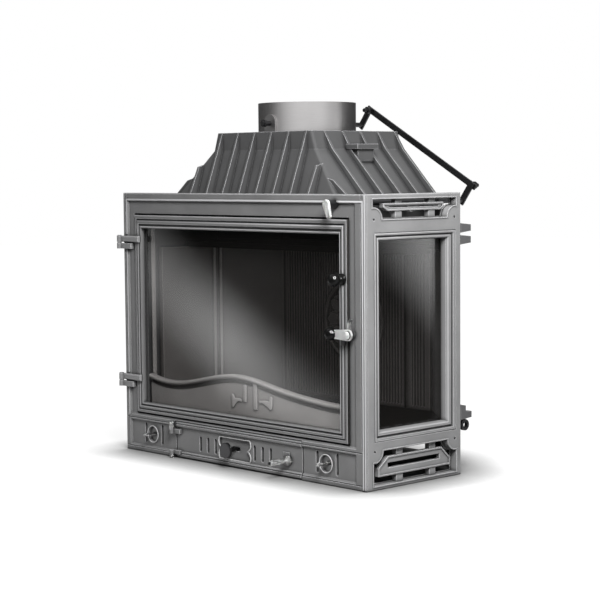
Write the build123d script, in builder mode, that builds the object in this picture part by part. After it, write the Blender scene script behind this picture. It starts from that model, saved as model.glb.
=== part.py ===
from build123d import *
import os
from math import cos, hypot, radians, sin

# A cast-iron fireplace insert, glazed on the front and on the right side.
# Millimetres, +Z up. The origin is on the base plane, midway across the front
# frame, level with the flue axis front to back. The front faces -Y.

os.makedirs("parts", exist_ok=True)

# Front frame
frame_width = 720.0
frame_height = 549.0
front_y = -200.0
border_rise = 4.0
frame_plate = 12.0
margin_left = 33.0
margin_right = 46.0
margin_top = 43.0
sill_height = 80.0
sill_strip = 2.5
border_left = 17.0
border_right = 30.0
border_top = 17.0
bottom_strip = 14.0
panel_top = 64.0
land_depth = 8.5
land_recess = 2.5
land_width = 16.0
land_lap = 4.0
corner_lip = 2.6

# Side frame
side_depth = 263.0
side_plate = 14.0
side_rise = 3.0
joint_gap = 0.4
grille_margin = 18.0
grille_top_margin = 9.5
upper_grille_height = 37.0
lower_grille_bottom = 8.0
lower_grille_height = 64.5
grille_corner = 22.0
window_margin_front = 21.4
window_margin_rear = 14.2
window_sill_rise = 9.7
window_top_margin = 71.1

# Clearances
door_gap = 2.5
running = 0.05
seat = 0.3
slide_clearance = 0.6

# Shell
wall = 8.0
base_thickness = 8.0
body_depth = 385.0
shell_inset = 15.0
left_corner_y = 45.0
left_corner_width = 70.0
right_corner_width = 155.0
floor_rise = 8.0
floor_thickness = 8.0
top_plate_drop = 61.0
lining_thickness = 12.0
lining_headroom = 58.0

# Hood and flue
flue_x = 0.0
flue_radius = 100.0
flue_wall = 6.0
hood_wall = 6.0
hood_rise = 122.0
hood_band_height = 36.5
hood_front_margin = 23.0
hood_rear_margin = 24.0
hood_side_margin = 40.0
hood_band_spread = 12.0
hood_foot_margin = 81.5
hood_front_slope = 0.312
fin_pitch = 50.0
fin_thickness = 5.0
fin_depth = 13.5
fin_knee_depth = 19.0
fin_foot_depth = 15.0
collar_height = 59.0

# Front door
door_thickness = 12.0
door_stile_left = 20.5
door_stile_right = 23.5
door_rail_top = 29.0
door_rail_bottom = 22.5
glass_thickness = 4.0
glass_lap = 9.0
seal_width = 7.0

# Ash door
ash_margin_left = 166.5
ash_margin_right = 175.5
ash_gap = 3.0
ash_thickness = 12.0
air_offset = 8.0
air_centre_z = 37.5
slot_width = 7.0
slot_bottom = 20.0
slot_top = 51.5
slot_first = 59.0
slot_pitch = 23.5
slot_count = 3

# Damper linkage
lever_margin = 80.0
lever_drop = 18.0
damper_rise = 17.0
crank_dx = 22.0
crank_dz = 30.0
linkage_gap = 38.0
shaft_radius = 5.0

left_edge = -frame_width / 2
right_edge = frame_width / 2
face_y = front_y + border_rise
frame_back = face_y + frame_plate
land_back = frame_back + land_depth
land_front = frame_back + land_recess
door_x0 = left_edge + margin_left
door_x1 = right_edge - margin_right
door_z0 = sill_height
door_z1 = frame_height - margin_top
ash_top = sill_height - sill_strip
rear_y = front_y + body_depth
side_rear_y = front_y + side_depth
side_inner_x = right_edge - side_plate
left_wall_x = left_edge + shell_inset
rear_left_x = left_wall_x + left_corner_width
rear_right_x = right_edge - right_corner_width
floor_z = sill_height + floor_rise
top_plate_z = frame_height - top_plate_drop
hood_top_z = frame_height + hood_rise
hood_seam_z = hood_top_z - hood_band_height
hood_front_y = -flue_radius - hood_front_margin
hood_rear_y = flue_radius + hood_rear_margin
hood_top_half = flue_radius + hood_side_margin
ash_left = left_edge + ash_margin_left
ash_right = right_edge - ash_margin_right
air_centre_x = (ash_left + ash_right) / 2 - air_offset
lever_x = right_edge - lever_margin
lever_z = frame_height - lever_drop
damper_z = hood_top_z + damper_rise
linkage_y = hood_rear_y + linkage_gap


def block(x0, x1, y0, y1, z0, z1, mode=Mode.ADD):
    """A box between two corners."""
    with Locations(((x0 + x1) / 2, (y0 + y1) / 2, (z0 + z1) / 2)):
        Box(x1 - x0, y1 - y0, z1 - z0, mode=mode)


def rod_y(x, z, radius, y0, y1, mode=Mode.ADD):
    """A round bar along Y."""
    with Locations((x, (y0 + y1) / 2, z)):
        Cylinder(radius, y1 - y0, rotation=(90, 0, 0), mode=mode)


def rod_z(x, y, radius, z0, z1, mode=Mode.ADD):
    """A round bar along Z."""
    with Locations((x, y, (z0 + z1) / 2)):
        Cylinder(radius, z1 - z0, mode=mode)


def rod_x(y, z, radius, x0, x1, mode=Mode.ADD):
    """A round bar along X."""
    with Locations(((x0 + x1) / 2, y, z)):
        Cylinder(radius, x1 - x0, rotation=(0, 90, 0), mode=mode)


def plate_xz(points, y0, y1, mode=Mode.ADD):
    """A flat plate with an outline in X and Z."""
    with BuildSketch(Plane.XZ.offset(-y1)) as outline:
        with BuildLine():
            Polyline(points, close=True)
        make_face()
    extrude(outline.sketch, amount=y1 - y0, mode=mode)


def plate_yz(points, x0, x1, mode=Mode.ADD):
    """A flat plate with an outline in Y and Z."""
    with BuildSketch(Plane.YZ.offset(x0)) as outline:
        with BuildLine():
            Polyline(points, close=True)
        make_face()
    extrude(outline.sketch, amount=x1 - x0, mode=mode)


def plate_xy(points, z0, z1, mode=Mode.ADD):
    """A flat plate with an outline in X and Y."""
    with BuildSketch(Plane.XY.offset(z0)) as outline:
        with BuildLine():
            Polyline(points, close=True)
        make_face()
    extrude(outline.sketch, amount=z1 - z0, mode=mode)


def slot_y(x, z, width, height, y0, y1, mode=Mode.SUBTRACT):
    """A slot with round ends, cut along Y. The longer side sets its direction."""
    turn = 0 if width >= height else 90
    with BuildSketch(Plane.XZ.offset(-y1)) as outline:
        with Locations((x, z)):
            SlotOverall(max(width, height), min(width, height), rotation=turn)
    extrude(outline.sketch, amount=y1 - y0, mode=mode)


def save(piece, name):
    """Label a piece and write it to its own file."""
    piece.part.label = name
    export_step(piece.part, "parts/" + name + ".step")


# Front frame: a stepped border, two bottom panels and the land that the door seals on
ash_x0 = ash_left - ash_gap
ash_x1 = ash_right + ash_gap
left_group_x = left_edge + 90.0
right_group_x = right_edge - 108.0
group_slot_offset = 27.0
dish_radius = 17.0
dish_depth = 4.0
dish_z = 40.5
group_slot_bottom = 20.0
group_slot_top = 62.0
group_slot_z = (group_slot_bottom + group_slot_top) / 2
group_slot_height = group_slot_top - group_slot_bottom
peg_slot_length = 18.0
peg_slot_height = 7.0
bush_radius = 8.0
bush_fit = 0.1
inner_bevel = 3.2
outer_bevel = 1.6
groove_width = 1.8
groove_depth = 1.5
moulding_line_z = 70.0
bottom_line_z = 9.0

bead_lines = (left_edge + 7.4, left_edge + 15.0, right_edge - 12.6, right_edge - 5.2)


def front_edges(piece, y):
    """Edges of a piece that lie in one upright plane."""
    return piece.edges().filter_by_position(Axis.Y, y - 0.01, y + 0.01)


def on_outline(edge):
    """True for an edge on the frame's outer outline."""
    middle = edge @ 0.5
    side = abs(abs(middle.X) - frame_width / 2) < 1
    return side or middle.Z < 1 or middle.Z > frame_height - 1


with BuildPart() as front_frame:
    block(left_edge, right_edge, face_y, frame_back, 0, frame_height)
    block(left_edge, right_edge, front_y, face_y, 0, frame_height)
    block(left_edge + border_left, right_edge - border_right, front_y, face_y,
          bottom_strip, panel_top, mode=Mode.SUBTRACT)
    block(left_edge + border_left, right_edge - border_right, front_y, face_y,
          sill_height, frame_height - border_top, mode=Mode.SUBTRACT)
    rim = front_edges(front_frame, front_y)
    outer = [edge for edge in rim if on_outline(edge)]
    inner = [edge for edge in rim if not on_outline(edge)]
    chamfer(outer, length=outer_bevel)
    chamfer(inner, length=inner_bevel)
    for line_z in (moulding_line_z, bottom_line_z):
        block(left_edge, right_edge, front_y, front_y + groove_depth, line_z,
              line_z + groove_width, mode=Mode.SUBTRACT)
    for line_x in bead_lines:
        block(line_x, line_x + groove_width, front_y, front_y + groove_depth,
              sill_height - 6, frame_height, mode=Mode.SUBTRACT)
    block(door_x0 - land_lap, door_x1 + land_lap, frame_back, land_back,
          door_z0 - land_lap, door_z1 + land_lap)
    block(door_x0, door_x1, front_y, land_front, door_z0, door_z1, mode=Mode.SUBTRACT)
    block(door_x0 + land_width, door_x1 - land_width, land_front, land_back,
          door_z0 + land_width, door_z1 - land_width, mode=Mode.SUBTRACT)
    block(ash_x0, ash_x1, front_y, frame_back, 0, ash_top, mode=Mode.SUBTRACT)
    block(side_inner_x - joint_gap, right_edge, front_y + corner_lip, land_back,
          0, frame_height, mode=Mode.SUBTRACT)
    for group_x in (left_group_x, right_group_x):
        rod_y(group_x, dish_z, dish_radius, face_y, face_y + dish_depth, mode=Mode.SUBTRACT)
        slot_y(group_x, dish_z, peg_slot_length, peg_slot_height, face_y, frame_back)
        for side in (-1, 1):
            slot_y(group_x + side * group_slot_offset, group_slot_z, slot_width,
                   group_slot_height, face_y, frame_back)
    rod_y(lever_x, lever_z, bush_radius + bush_fit, front_y, frame_back, mode=Mode.SUBTRACT)
save(front_frame, "front_frame")

with BuildPart() as shaft_bush:
    rod_y(lever_x, lever_z, bush_radius, front_y - 3, frame_back)
    rod_y(lever_x, lever_z, shaft_radius + running, front_y - 3, frame_back, mode=Mode.SUBTRACT)
save(shaft_bush, "shaft_bush")

# Side frame: one casting with two grille openings and the window opening between them
side_y0 = front_y + corner_lip + joint_gap
side_face_x = right_edge - side_rise
window_y0 = front_y + window_margin_front
window_y1 = side_rear_y - window_margin_rear
window_bottom = sill_height + window_sill_rise
window_top = frame_height - window_top_margin
grille_y0 = front_y + grille_margin
grille_y1 = side_rear_y - grille_margin + 4
upper_z1 = frame_height - grille_top_margin
upper_z0 = upper_z1 - upper_grille_height
lower_z0 = lower_grille_bottom
lower_z1 = lower_z0 + lower_grille_height
screw_inset = 4.0
screw_ys = (grille_y0 + screw_inset, grille_y1 - screw_inset)
bead_width = 2.4
bead_rise = 1.2
screw_radius = 2.2


def grille_opening(y0, y1, z0, z1, corner_z, radius, x0, x1, mode):
    """A window with two corners kept back round the screws at corner_z."""
    with BuildSketch(Plane.YZ.offset(x0)) as outline:
        with Locations(((y0 + y1) / 2, (z0 + z1) / 2)):
            Rectangle(y1 - y0, z1 - z0)
        for screw_y in screw_ys:
            with Locations((screw_y, corner_z)):
                Circle(radius, mode=Mode.SUBTRACT)
    extrude(outline.sketch, amount=x1 - x0, mode=mode)


with BuildPart() as side_frame:
    block(side_inner_x, side_face_x, side_y0, side_rear_y, 0, frame_height)
    block(side_face_x, right_edge, side_y0, side_rear_y, 0, frame_height)
    rim = side_frame.edges().filter_by_position(Axis.X, right_edge - 0.01, right_edge + 0.01)
    chamfer(rim, length=1.2)
    for z0, z1, corner_z in ((upper_z0, upper_z1, upper_z0), (lower_z0, lower_z1, lower_z1)):
        grille_opening(grille_y0 - bead_width, grille_y1 + bead_width, z0 - bead_width,
                       z1 + bead_width, corner_z, grille_corner - bead_width,
                       right_edge, right_edge + bead_rise, Mode.ADD)
        grille_opening(grille_y0, grille_y1, z0, z1, corner_z, grille_corner,
                       side_inner_x, right_edge + bead_rise, Mode.SUBTRACT)
        for screw_y in screw_ys:
            rod_x(screw_y, corner_z, screw_radius + 0.3, side_inner_x, right_edge,
                  mode=Mode.SUBTRACT)
    block(side_inner_x, right_edge, window_y0, window_y1, window_bottom, window_top,
          mode=Mode.SUBTRACT)
save(side_frame, "side_frame")

with BuildPart() as side_screws:
    for corner_z in (upper_z0, lower_z1):
        for screw_y in screw_ys:
            rod_x(screw_y, corner_z, screw_radius, side_inner_x, right_edge - 1.5)
save(side_screws, "side_screws")

# Window frame of the right side, with its glass, seal and clips
window_gap = 0.8
window_stile_front = 14.4
window_stile_rear = 23.1
window_rail_top = 14.6
window_rail_bottom = 18.8
window_y0 += window_gap
window_y1 -= window_gap
window_z0 = window_bottom + window_gap
window_z1 = window_top - window_gap
side_glass_y0 = window_y0 + window_stile_front
side_glass_y1 = window_y1 - window_stile_rear
side_glass_z0 = window_z0 + window_rail_bottom
side_glass_z1 = window_z1 - window_rail_top
frame_outer_x = right_edge + 1.2
window_back_x = side_inner_x - 4

window_flange = 6.0
window_edge = 5.0
window_step = 2.0
window_step_x = right_edge - window_step
window_ridge_inset = 9.0
with BuildPart() as side_window_frame:
    block(window_back_x, side_inner_x - seat, window_y0 - window_flange,
          window_y1 + window_flange, window_z0 - window_flange, window_z1 + window_flange)
    block(window_back_x, window_step_x, window_y0, window_y1, window_z0, window_z1)
    block(window_step_x, frame_outer_x, window_y0, window_y1, window_z0, window_z1)
    block(window_step_x, frame_outer_x, window_y0 + window_edge, window_y1 - window_edge,
          window_z0 + window_edge, window_z1 - window_edge, mode=Mode.SUBTRACT)
    rim = side_window_frame.edges().filter_by_position(
        Axis.X, frame_outer_x - 0.01, frame_outer_x + 0.01)
    chamfer(rim, length=1.1)
    block(window_step_x, right_edge, side_glass_y1 + window_edge,
          window_y1 - window_ridge_inset, side_glass_z0 - window_flange,
          side_glass_z1 + window_flange)
    block(window_back_x, frame_outer_x, side_glass_y0, side_glass_y1, side_glass_z0,
          side_glass_z1, mode=Mode.SUBTRACT)
    reveal = side_window_frame.edges().filter_by_position(
        Axis.X, window_step_x - 0.01, window_step_x + 0.01)
    inner = reveal.filter_by_position(Axis.Y, side_glass_y0 - 0.01, side_glass_y1 + 0.01)
    inner = inner.filter_by_position(Axis.Z, side_glass_z0 - 0.01, side_glass_z1 + 0.01)
    chamfer(inner, length=2.5)
save(side_window_frame, "side_window_frame")

side_glass_x1 = window_back_x - seat
side_glass_x0 = side_glass_x1 - glass_thickness
with BuildPart() as side_glass:
    block(side_glass_x0, side_glass_x1, side_glass_y0 - glass_lap, side_glass_y1 + glass_lap,
          side_glass_z0 - glass_lap, side_glass_z1 + glass_lap)
save(side_glass, "side_glass")

# The seal is a flat cord round the glass edge, between the frame and the clips
cord_inner = glass_lap + seat
cord_outer = cord_inner + 4.0
with BuildPart() as side_seal:
    block(side_glass_x0, side_glass_x1, side_glass_y0 - cord_outer, side_glass_y1 + cord_outer,
          side_glass_z0 - cord_outer, side_glass_z1 + cord_outer)
    block(side_glass_x0, side_glass_x1, side_glass_y0 - cord_inner, side_glass_y1 + cord_inner,
          side_glass_z0 - cord_inner, side_glass_z1 + cord_inner, mode=Mode.SUBTRACT)
save(side_seal, "side_seal")

clip_width = 22.0
clip_thickness = 2.0
clip_inset = 40.0
clip_lap = 2.0
clip_reach = 12.0
clip_screw_reach = 8.0
clip_screw_radius = 2.5
clip_head = 3.0
with BuildPart() as side_glass_clips:
    for clip_y in (side_glass_y0 + clip_inset, side_glass_y1 - clip_inset):
        for edge_z, sign in ((side_glass_z0, -1), (side_glass_z1, 1)):
            inner_z = edge_z + sign * clip_lap
            outer_z = edge_z + sign * (glass_lap + clip_reach)
            block(side_glass_x0 - clip_thickness, side_glass_x0, clip_y - clip_width / 2,
                  clip_y + clip_width / 2, min(inner_z, outer_z), max(inner_z, outer_z))
            rod_x(clip_y, edge_z + sign * (glass_lap + clip_screw_reach), clip_screw_radius,
                  side_glass_x0 - clip_thickness - clip_head, side_glass_x0 - clip_thickness)
save(side_glass_clips, "side_glass_clips")


# Side grilles: a hexagonal slotted ring on four short posts, in a thin edge frame
grille_x1 = side_face_x - 1.0
flange_thickness = 3.0
flange_lap = 5.0
post_width = 17.0
post_ys = (grille_y0 + 68, grille_y0 + 160)
ring_relief = 2.0
ring_rim = 3.2


def grille(y0, y1, z0, z1, corner_z, ring_points, slot_z, slot_y0, slot_y1, slot_height):
    """Rear flange plate, posts, and a ring with a long slot and a raised rim."""
    back = side_inner_x - seat - flange_thickness
    grille_opening(frame_back + seat, y1 + flange_lap, z0 - flange_lap, z1 + flange_lap,
                   corner_z, grille_corner - flange_lap, back, back + flange_thickness,
                   Mode.ADD)
    grille_opening(y0 + 2, y1 - 2, z0 + 2, z1 - 2, corner_z, grille_corner + 2,
                   back, back + flange_thickness, Mode.SUBTRACT)
    for post_y in post_ys:
        block(back, grille_x1 - 2, post_y, post_y + post_width, z0, z1)
    plate_yz(ring_points, back + flange_thickness, grille_x1)
    with BuildSketch(Plane.YZ.offset(grille_x1 - ring_relief)) as recess:
        with BuildLine():
            Polyline(ring_points, close=True)
        make_face()
        offset(amount=-ring_rim, mode=Mode.REPLACE)
    extrude(recess.sketch, amount=ring_relief, mode=Mode.SUBTRACT)
    block(back, grille_x1, slot_y0, slot_y1, slot_z - slot_height / 2,
          slot_z + slot_height / 2, mode=Mode.SUBTRACT)


upper_bar_z = upper_z0 + 22.5
with BuildPart() as upper_grille:
    bar_y0 = grille_y0 + 34
    bar_y1 = grille_y1 - 31
    bar = [(bar_y0, upper_bar_z + 6.5), (bar_y1, upper_bar_z + 6.5), (bar_y1, upper_bar_z - 3),
           (bar_y1 - 9, upper_bar_z - 7.5), (bar_y0 + 12, upper_bar_z - 7.5),
           (bar_y0, upper_bar_z - 1)]
    grille(grille_y0, grille_y1, upper_z0, upper_z1, upper_z0, bar, upper_bar_z,
           bar_y0 + 16, bar_y1 - 12, 2.4)
save(upper_grille, "upper_grille")

with BuildPart() as lower_grille:
    ring_z0 = lower_z0 + 15
    ring_z1 = lower_z1 - 13
    ring = [(grille_y0 + 18, ring_z0), (grille_y1 - 13, ring_z0), (grille_y1 - 13, ring_z0 + 13),
            (grille_y1 - 38, ring_z1), (grille_y0 + 44, ring_z1), (grille_y0 + 18, ring_z0 + 16)]
    grille(grille_y0, grille_y1, lower_z0, lower_z1, lower_z1, ring, lower_z0 + 34,
           grille_y0 + 44, grille_y1 - 42, 10)
save(lower_grille, "lower_grille")

# Rear lugs of the side frame, and the eye bolt through the lower pair
lug_thickness = 10.0
lug_flare = 3.0
lowest_lug_z = sill_height + 29.0
lug_levels = ((frame_height - 75.0, 12.5, 30.0), (frame_height - 98.0, 12.5, 30.0),
              (sill_height + 43.0, 10.5, 15.0), (lowest_lug_z, 12.0, 32.0))
lug_x0 = right_edge - lug_thickness
with BuildPart() as side_rear_lugs:
    for lug_z, lug_height, lug_reach in lug_levels:
        points = [(side_rear_y, lug_z - lug_flare), (side_rear_y + lug_reach, lug_z),
                  (side_rear_y + lug_reach, lug_z + lug_height),
                  (side_rear_y, lug_z + lug_height + lug_flare)]
        plate_yz(points, lug_x0, right_edge)
save(side_rear_lugs, "side_rear_lugs")

eye_radius = 11.0
eye_thickness = 7.0
eye_reach = 15.0
eye_y = side_rear_y + eye_reach
eye_z = lowest_lug_z - lug_flare - eye_radius
eye_x = right_edge - lug_thickness / 2
with BuildPart() as lug_eye:
    rod_x(eye_y, eye_z, eye_radius, eye_x - eye_thickness / 2, eye_x + eye_thickness / 2)
    rod_x(eye_y, eye_z, eye_radius / 2, eye_x - eye_thickness / 2, eye_x + eye_thickness / 2,
          mode=Mode.SUBTRACT)
    rod_z(eye_x, eye_y, 3, eye_z + eye_radius - 2, lowest_lug_z - lug_flare + 1)
save(lug_eye, "lug_eye")

# Base and shell plates. The shell is a closed band of cast plates, cornered at the rear.
right_corner_x = side_inner_x - seat
right_corner_y = side_rear_y
inside = wall + 1.0


def shell_outline(front, right):
    """Outline of a plate that closes the shell, from its front edge to the rear."""
    return [(left_wall_x, front), (right, front), (right, right_corner_y),
            (rear_right_x, rear_y), (rear_left_x, rear_y), (left_wall_x, left_corner_y)]


with BuildPart() as base_plate:
    plate_xy(shell_outline(frame_back, window_back_x), 0, base_thickness)
save(base_plate, "base_plate")

with BuildPart() as left_wall:
    block(left_wall_x, left_wall_x + wall, frame_back, left_corner_y, base_thickness,
          top_plate_z)
save(left_wall, "left_wall")


def corner_band(x0, y0, x1, y1, inset, thickness):
    """Outline of a straight plate from one corner to the next, set in from the outside."""
    length = hypot(x1 - x0, y1 - y0)
    ux, uy = (x1 - x0) / length, (y1 - y0) / length
    nx, ny = uy, -ux
    if nx * (flue_x - x0) + ny * (0 - y0) < 0:
        nx, ny = -nx, -ny
    return [(x0 + nx * inset, y0 + ny * inset), (x1 + nx * inset, y1 + ny * inset),
            (x1 + nx * (inset + thickness), y1 + ny * (inset + thickness)),
            (x0 + nx * (inset + thickness), y0 + ny * (inset + thickness))]


with BuildPart() as left_rear_wall:
    plate_xy(corner_band(left_wall_x, left_corner_y, rear_left_x, rear_y, 0, wall),
             base_thickness, top_plate_z)
    block(left_wall_x, left_wall_x + wall, left_corner_y - 2 * wall, left_corner_y,
          base_thickness, top_plate_z, mode=Mode.SUBTRACT)
    block(rear_left_x, rear_left_x + 2 * wall, rear_y - wall, rear_y, base_thickness,
          top_plate_z, mode=Mode.SUBTRACT)
save(left_rear_wall, "left_rear_wall")

air_notch_x1 = rear_right_x - 35.0
air_notch_x0 = air_notch_x1 - 120.0
air_notch_top = 50.0
air_notch_radius = 36.0
with BuildPart() as rear_wall:
    block(rear_left_x, rear_right_x, rear_y - wall, rear_y, base_thickness, top_plate_z)
    with BuildSketch(Plane.XZ.offset(-rear_y)) as notch:
        with Locations(((air_notch_x0 + air_notch_x1) / 2, 0)):
            RectangleRounded(air_notch_x1 - air_notch_x0, 2 * air_notch_top,
                             air_notch_radius)
    extrude(notch.sketch, amount=wall, mode=Mode.SUBTRACT)
save(rear_wall, "rear_wall")

with BuildPart() as right_rear_wall:
    plate_xy(corner_band(right_corner_x, right_corner_y, rear_right_x, rear_y, 0, wall),
             base_thickness, top_plate_z)
    block(rear_right_x - 2 * wall, rear_right_x, rear_y - wall, rear_y, base_thickness,
          top_plate_z, mode=Mode.SUBTRACT)
save(right_rear_wall, "right_rear_wall")

hood_hole_half = hood_top_half + 60.0
hood_hole_margin = 15.0
with BuildPart() as top_plate:
    plate_xy(shell_outline(land_back, window_back_x), top_plate_z, top_plate_z + wall)
    block(flue_x - hood_hole_half, flue_x + hood_hole_half, hood_front_y - hood_hole_margin,
          hood_rear_y - hood_hole_margin, top_plate_z, top_plate_z + wall, mode=Mode.SUBTRACT)
save(top_plate, "top_plate")

# Firebox floor with its grate, and the ash housing and pan under it
floor_right_x = window_back_x - 11.0
floor_outline = [(left_wall_x + inside, land_back + 1), (floor_right_x, land_back + 1),
                 (floor_right_x, right_corner_y - 12), (rear_right_x - 8, rear_y - inside),
                 (rear_left_x + 8, rear_y - inside), (left_wall_x + inside, left_corner_y - 8)]
grate_x = -5.0
grate_y = front_y + 138.0
grate_length = 260.0
grate_depth = 170.0
grate_ledge = 6.0
grate_thickness = 5.0
grate_slots = 13
grate_slot_width = 9.0
grate_rim = 15.0
floor_top = floor_z + floor_thickness
grate_z = floor_top - grate_thickness


def grate_hole(margin, z0, z1):
    """The floor's hole for the grate, cut larger all round by margin."""
    block(grate_x - grate_length / 2 - margin, grate_x + grate_length / 2 + margin,
          grate_y - grate_depth / 2 - margin, grate_y + grate_depth / 2 + margin,
          z0, z1, mode=Mode.SUBTRACT)


with BuildPart() as firebox_floor:
    plate_xy(floor_outline, floor_z, floor_top)
    grate_hole(-grate_ledge, floor_z, floor_top)
    grate_hole(1, grate_z, floor_top)
save(firebox_floor, "firebox_floor")

with BuildPart() as grate:
    block(grate_x - grate_length / 2, grate_x + grate_length / 2, grate_y - grate_depth / 2,
          grate_y + grate_depth / 2, grate_z, floor_top)
    with BuildSketch(Plane.XY.offset(grate_z)) as slots:
        with Locations((grate_x, grate_y)):
            with GridLocations((grate_length - 2 * grate_rim) / (grate_slots - 1), 0,
                               grate_slots, 1):
                SlotOverall(grate_depth - 2 * grate_rim, grate_slot_width, rotation=90)
    extrude(slots.sketch, amount=grate_thickness, mode=Mode.SUBTRACT)
save(grate, "grate")

# Two bearers carry the floor, each on a front foot and against the rear wall
bearer_width = 10.0
bearer_height = 16.0
bearer_foot = 12.0
housing_half = grate_length / 2 + 12
bearer_offset = housing_half + bearer_width
bearer_y0 = land_back + 2
with BuildPart() as floor_bearers:
    for side in (-1, 1):
        bearer_x = grate_x + side * bearer_offset
        block(bearer_x - bearer_width / 2, bearer_x + bearer_width / 2, bearer_y0,
              rear_y - wall, floor_z - bearer_height, floor_z)
        block(bearer_x - bearer_width / 2, bearer_x + bearer_width / 2, bearer_y0,
              bearer_y0 + bearer_foot, base_thickness, floor_z - bearer_height)
save(floor_bearers, "floor_bearers")

housing_y0 = land_back + 1
housing_y1 = grate_y + grate_depth / 2 + 29
housing_wall = 3.0
with BuildPart() as ash_housing:
    block(grate_x - housing_half, grate_x + housing_half, housing_y0, housing_y1,
          base_thickness, floor_z)
    block(grate_x - housing_half + housing_wall, grate_x + housing_half - housing_wall,
          housing_y0, housing_y1 - housing_wall, base_thickness + housing_wall, floor_z,
          mode=Mode.SUBTRACT)
save(ash_housing, "ash_housing")

pan_wall = 2.0
pan_side_gap = 4.0
pan_half = housing_half - housing_wall - pan_side_gap
pan_y0 = housing_y0 + 10
pan_y1 = housing_y1 - housing_wall - pan_side_gap
pan_z0 = base_thickness + housing_wall
pan_z1 = pan_z0 + 46
pan_grip_half = 30.0
pan_grip_z = pan_z0 + 24
pan_grip_reach = 8.0
with BuildPart() as ash_pan:
    block(grate_x - pan_half, grate_x + pan_half, pan_y0, pan_y1, pan_z0, pan_z1)
    block(grate_x - pan_half + pan_wall, grate_x + pan_half - pan_wall, pan_y0 + pan_wall,
          pan_y1 - pan_wall, pan_z0 + pan_wall, pan_z1, mode=Mode.SUBTRACT)
    block(grate_x - pan_grip_half, grate_x + pan_grip_half, pan_y0 - pan_grip_reach, pan_y0,
          pan_grip_z, pan_grip_z + pan_wall)
save(ash_pan, "ash_pan")

# Linings stand on the floor, one plate for each wall
lining_top = top_plate_z - lining_headroom
lining_y1 = rear_y - inside
lining_y0 = lining_y1 - lining_thickness
left_lining_x = left_wall_x + inside
left_lining_y0 = front_y + 76
with BuildPart() as left_lining:
    block(left_lining_x, left_lining_x + lining_thickness, left_lining_y0,
          left_corner_y - inside - 2, floor_top, lining_top)
save(left_lining, "left_lining")


def corner_lining(x, y, rear_x):
    """A lining along a corner wall, cut off level with the rear lining's back."""
    plate_xy(corner_band(x, y, rear_x, rear_y, inside, lining_thickness), floor_top, lining_top)
    block(rear_x - 3 * lining_thickness, rear_x + 3 * lining_thickness, lining_y1, rear_y,
          floor_top, lining_top, mode=Mode.SUBTRACT)


with BuildPart() as left_rear_lining:
    corner_lining(left_wall_x, left_corner_y, rear_left_x)
save(left_rear_lining, "left_rear_lining")

with BuildPart() as right_rear_lining:
    corner_lining(right_corner_x, right_corner_y, rear_right_x)
save(right_rear_lining, "right_rear_lining")

flute_pitch = 8.0
flute_radius = 2.6
flute_margin = 8.0
lining_joint_x = rear_right_x - 81.0
lining_joint = 1.0
rear_lining_x0 = rear_left_x + 23
rear_lining_x1 = rear_right_x - 18
rosette_x = flue_x - 28.0
rosette_z = floor_top + 176.0
rosette_radius = 88.0
rosette_rim = 7.0
rosette_relief = 5.0
petal_count = 10
petal_rows = ((0.34, 13.0), (0.66, 17.0))


def fluted_plate(x0, x1):
    """A lining plate with upright flutes in its front face."""
    block(x0, x1, lining_y0, lining_y1, floor_top, lining_top)
    count = int((x1 - x0 - 2 * flute_margin) // flute_pitch)
    start = (x0 + x1) / 2 - (count - 1) * flute_pitch / 2
    for index in range(count):
        rod_z(start + index * flute_pitch, lining_y0, flute_radius, floor_top + flute_margin,
              lining_top - flute_margin, mode=Mode.SUBTRACT)


with BuildPart() as rear_lining:
    fluted_plate(rear_lining_x0, lining_joint_x - lining_joint / 2)
    relief_y = lining_y0 - rosette_relief
    rod_y(rosette_x, rosette_z, rosette_radius, relief_y, lining_y0 + flute_radius)
    rod_y(rosette_x, rosette_z, rosette_radius - rosette_rim, relief_y, lining_y0 - 1,
          mode=Mode.SUBTRACT)
    for index in range(petal_count):
        angle = radians(360 / petal_count * index)
        for reach, size in petal_rows:
            rod_y(rosette_x + rosette_radius * reach * cos(angle),
                  rosette_z + rosette_radius * reach * sin(angle), size, relief_y + 1,
                  lining_y0 - 1)
    rod_y(rosette_x, rosette_z, petal_rows[0][1], relief_y, lining_y0 - 1)
save(rear_lining, "rear_lining")

with BuildPart() as rear_lining_right:
    fluted_plate(lining_joint_x + lining_joint / 2, rear_lining_x1)
save(rear_lining_right, "rear_lining_right")

# Baffle plate over the linings, on their top edges
baffle_y0 = front_y + 150
baffle_thickness = 12.0
baffle_lap = 4.0
baffle_left_x = left_lining_x + baffle_lap
baffle_right_x = floor_right_x - 23.0
baffle_y1 = lining_y1 - baffle_lap
with BuildPart() as baffle_plate:
    plate_xy([(baffle_left_x, baffle_y0), (baffle_right_x, baffle_y0),
              (baffle_right_x, right_corner_y - 30), (rear_right_x - 26, baffle_y1),
              (rear_left_x + 32, baffle_y1), (baffle_left_x, left_corner_y - 20)],
             lining_top, lining_top + baffle_thickness)
save(baffle_plate, "baffle_plate")

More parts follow.
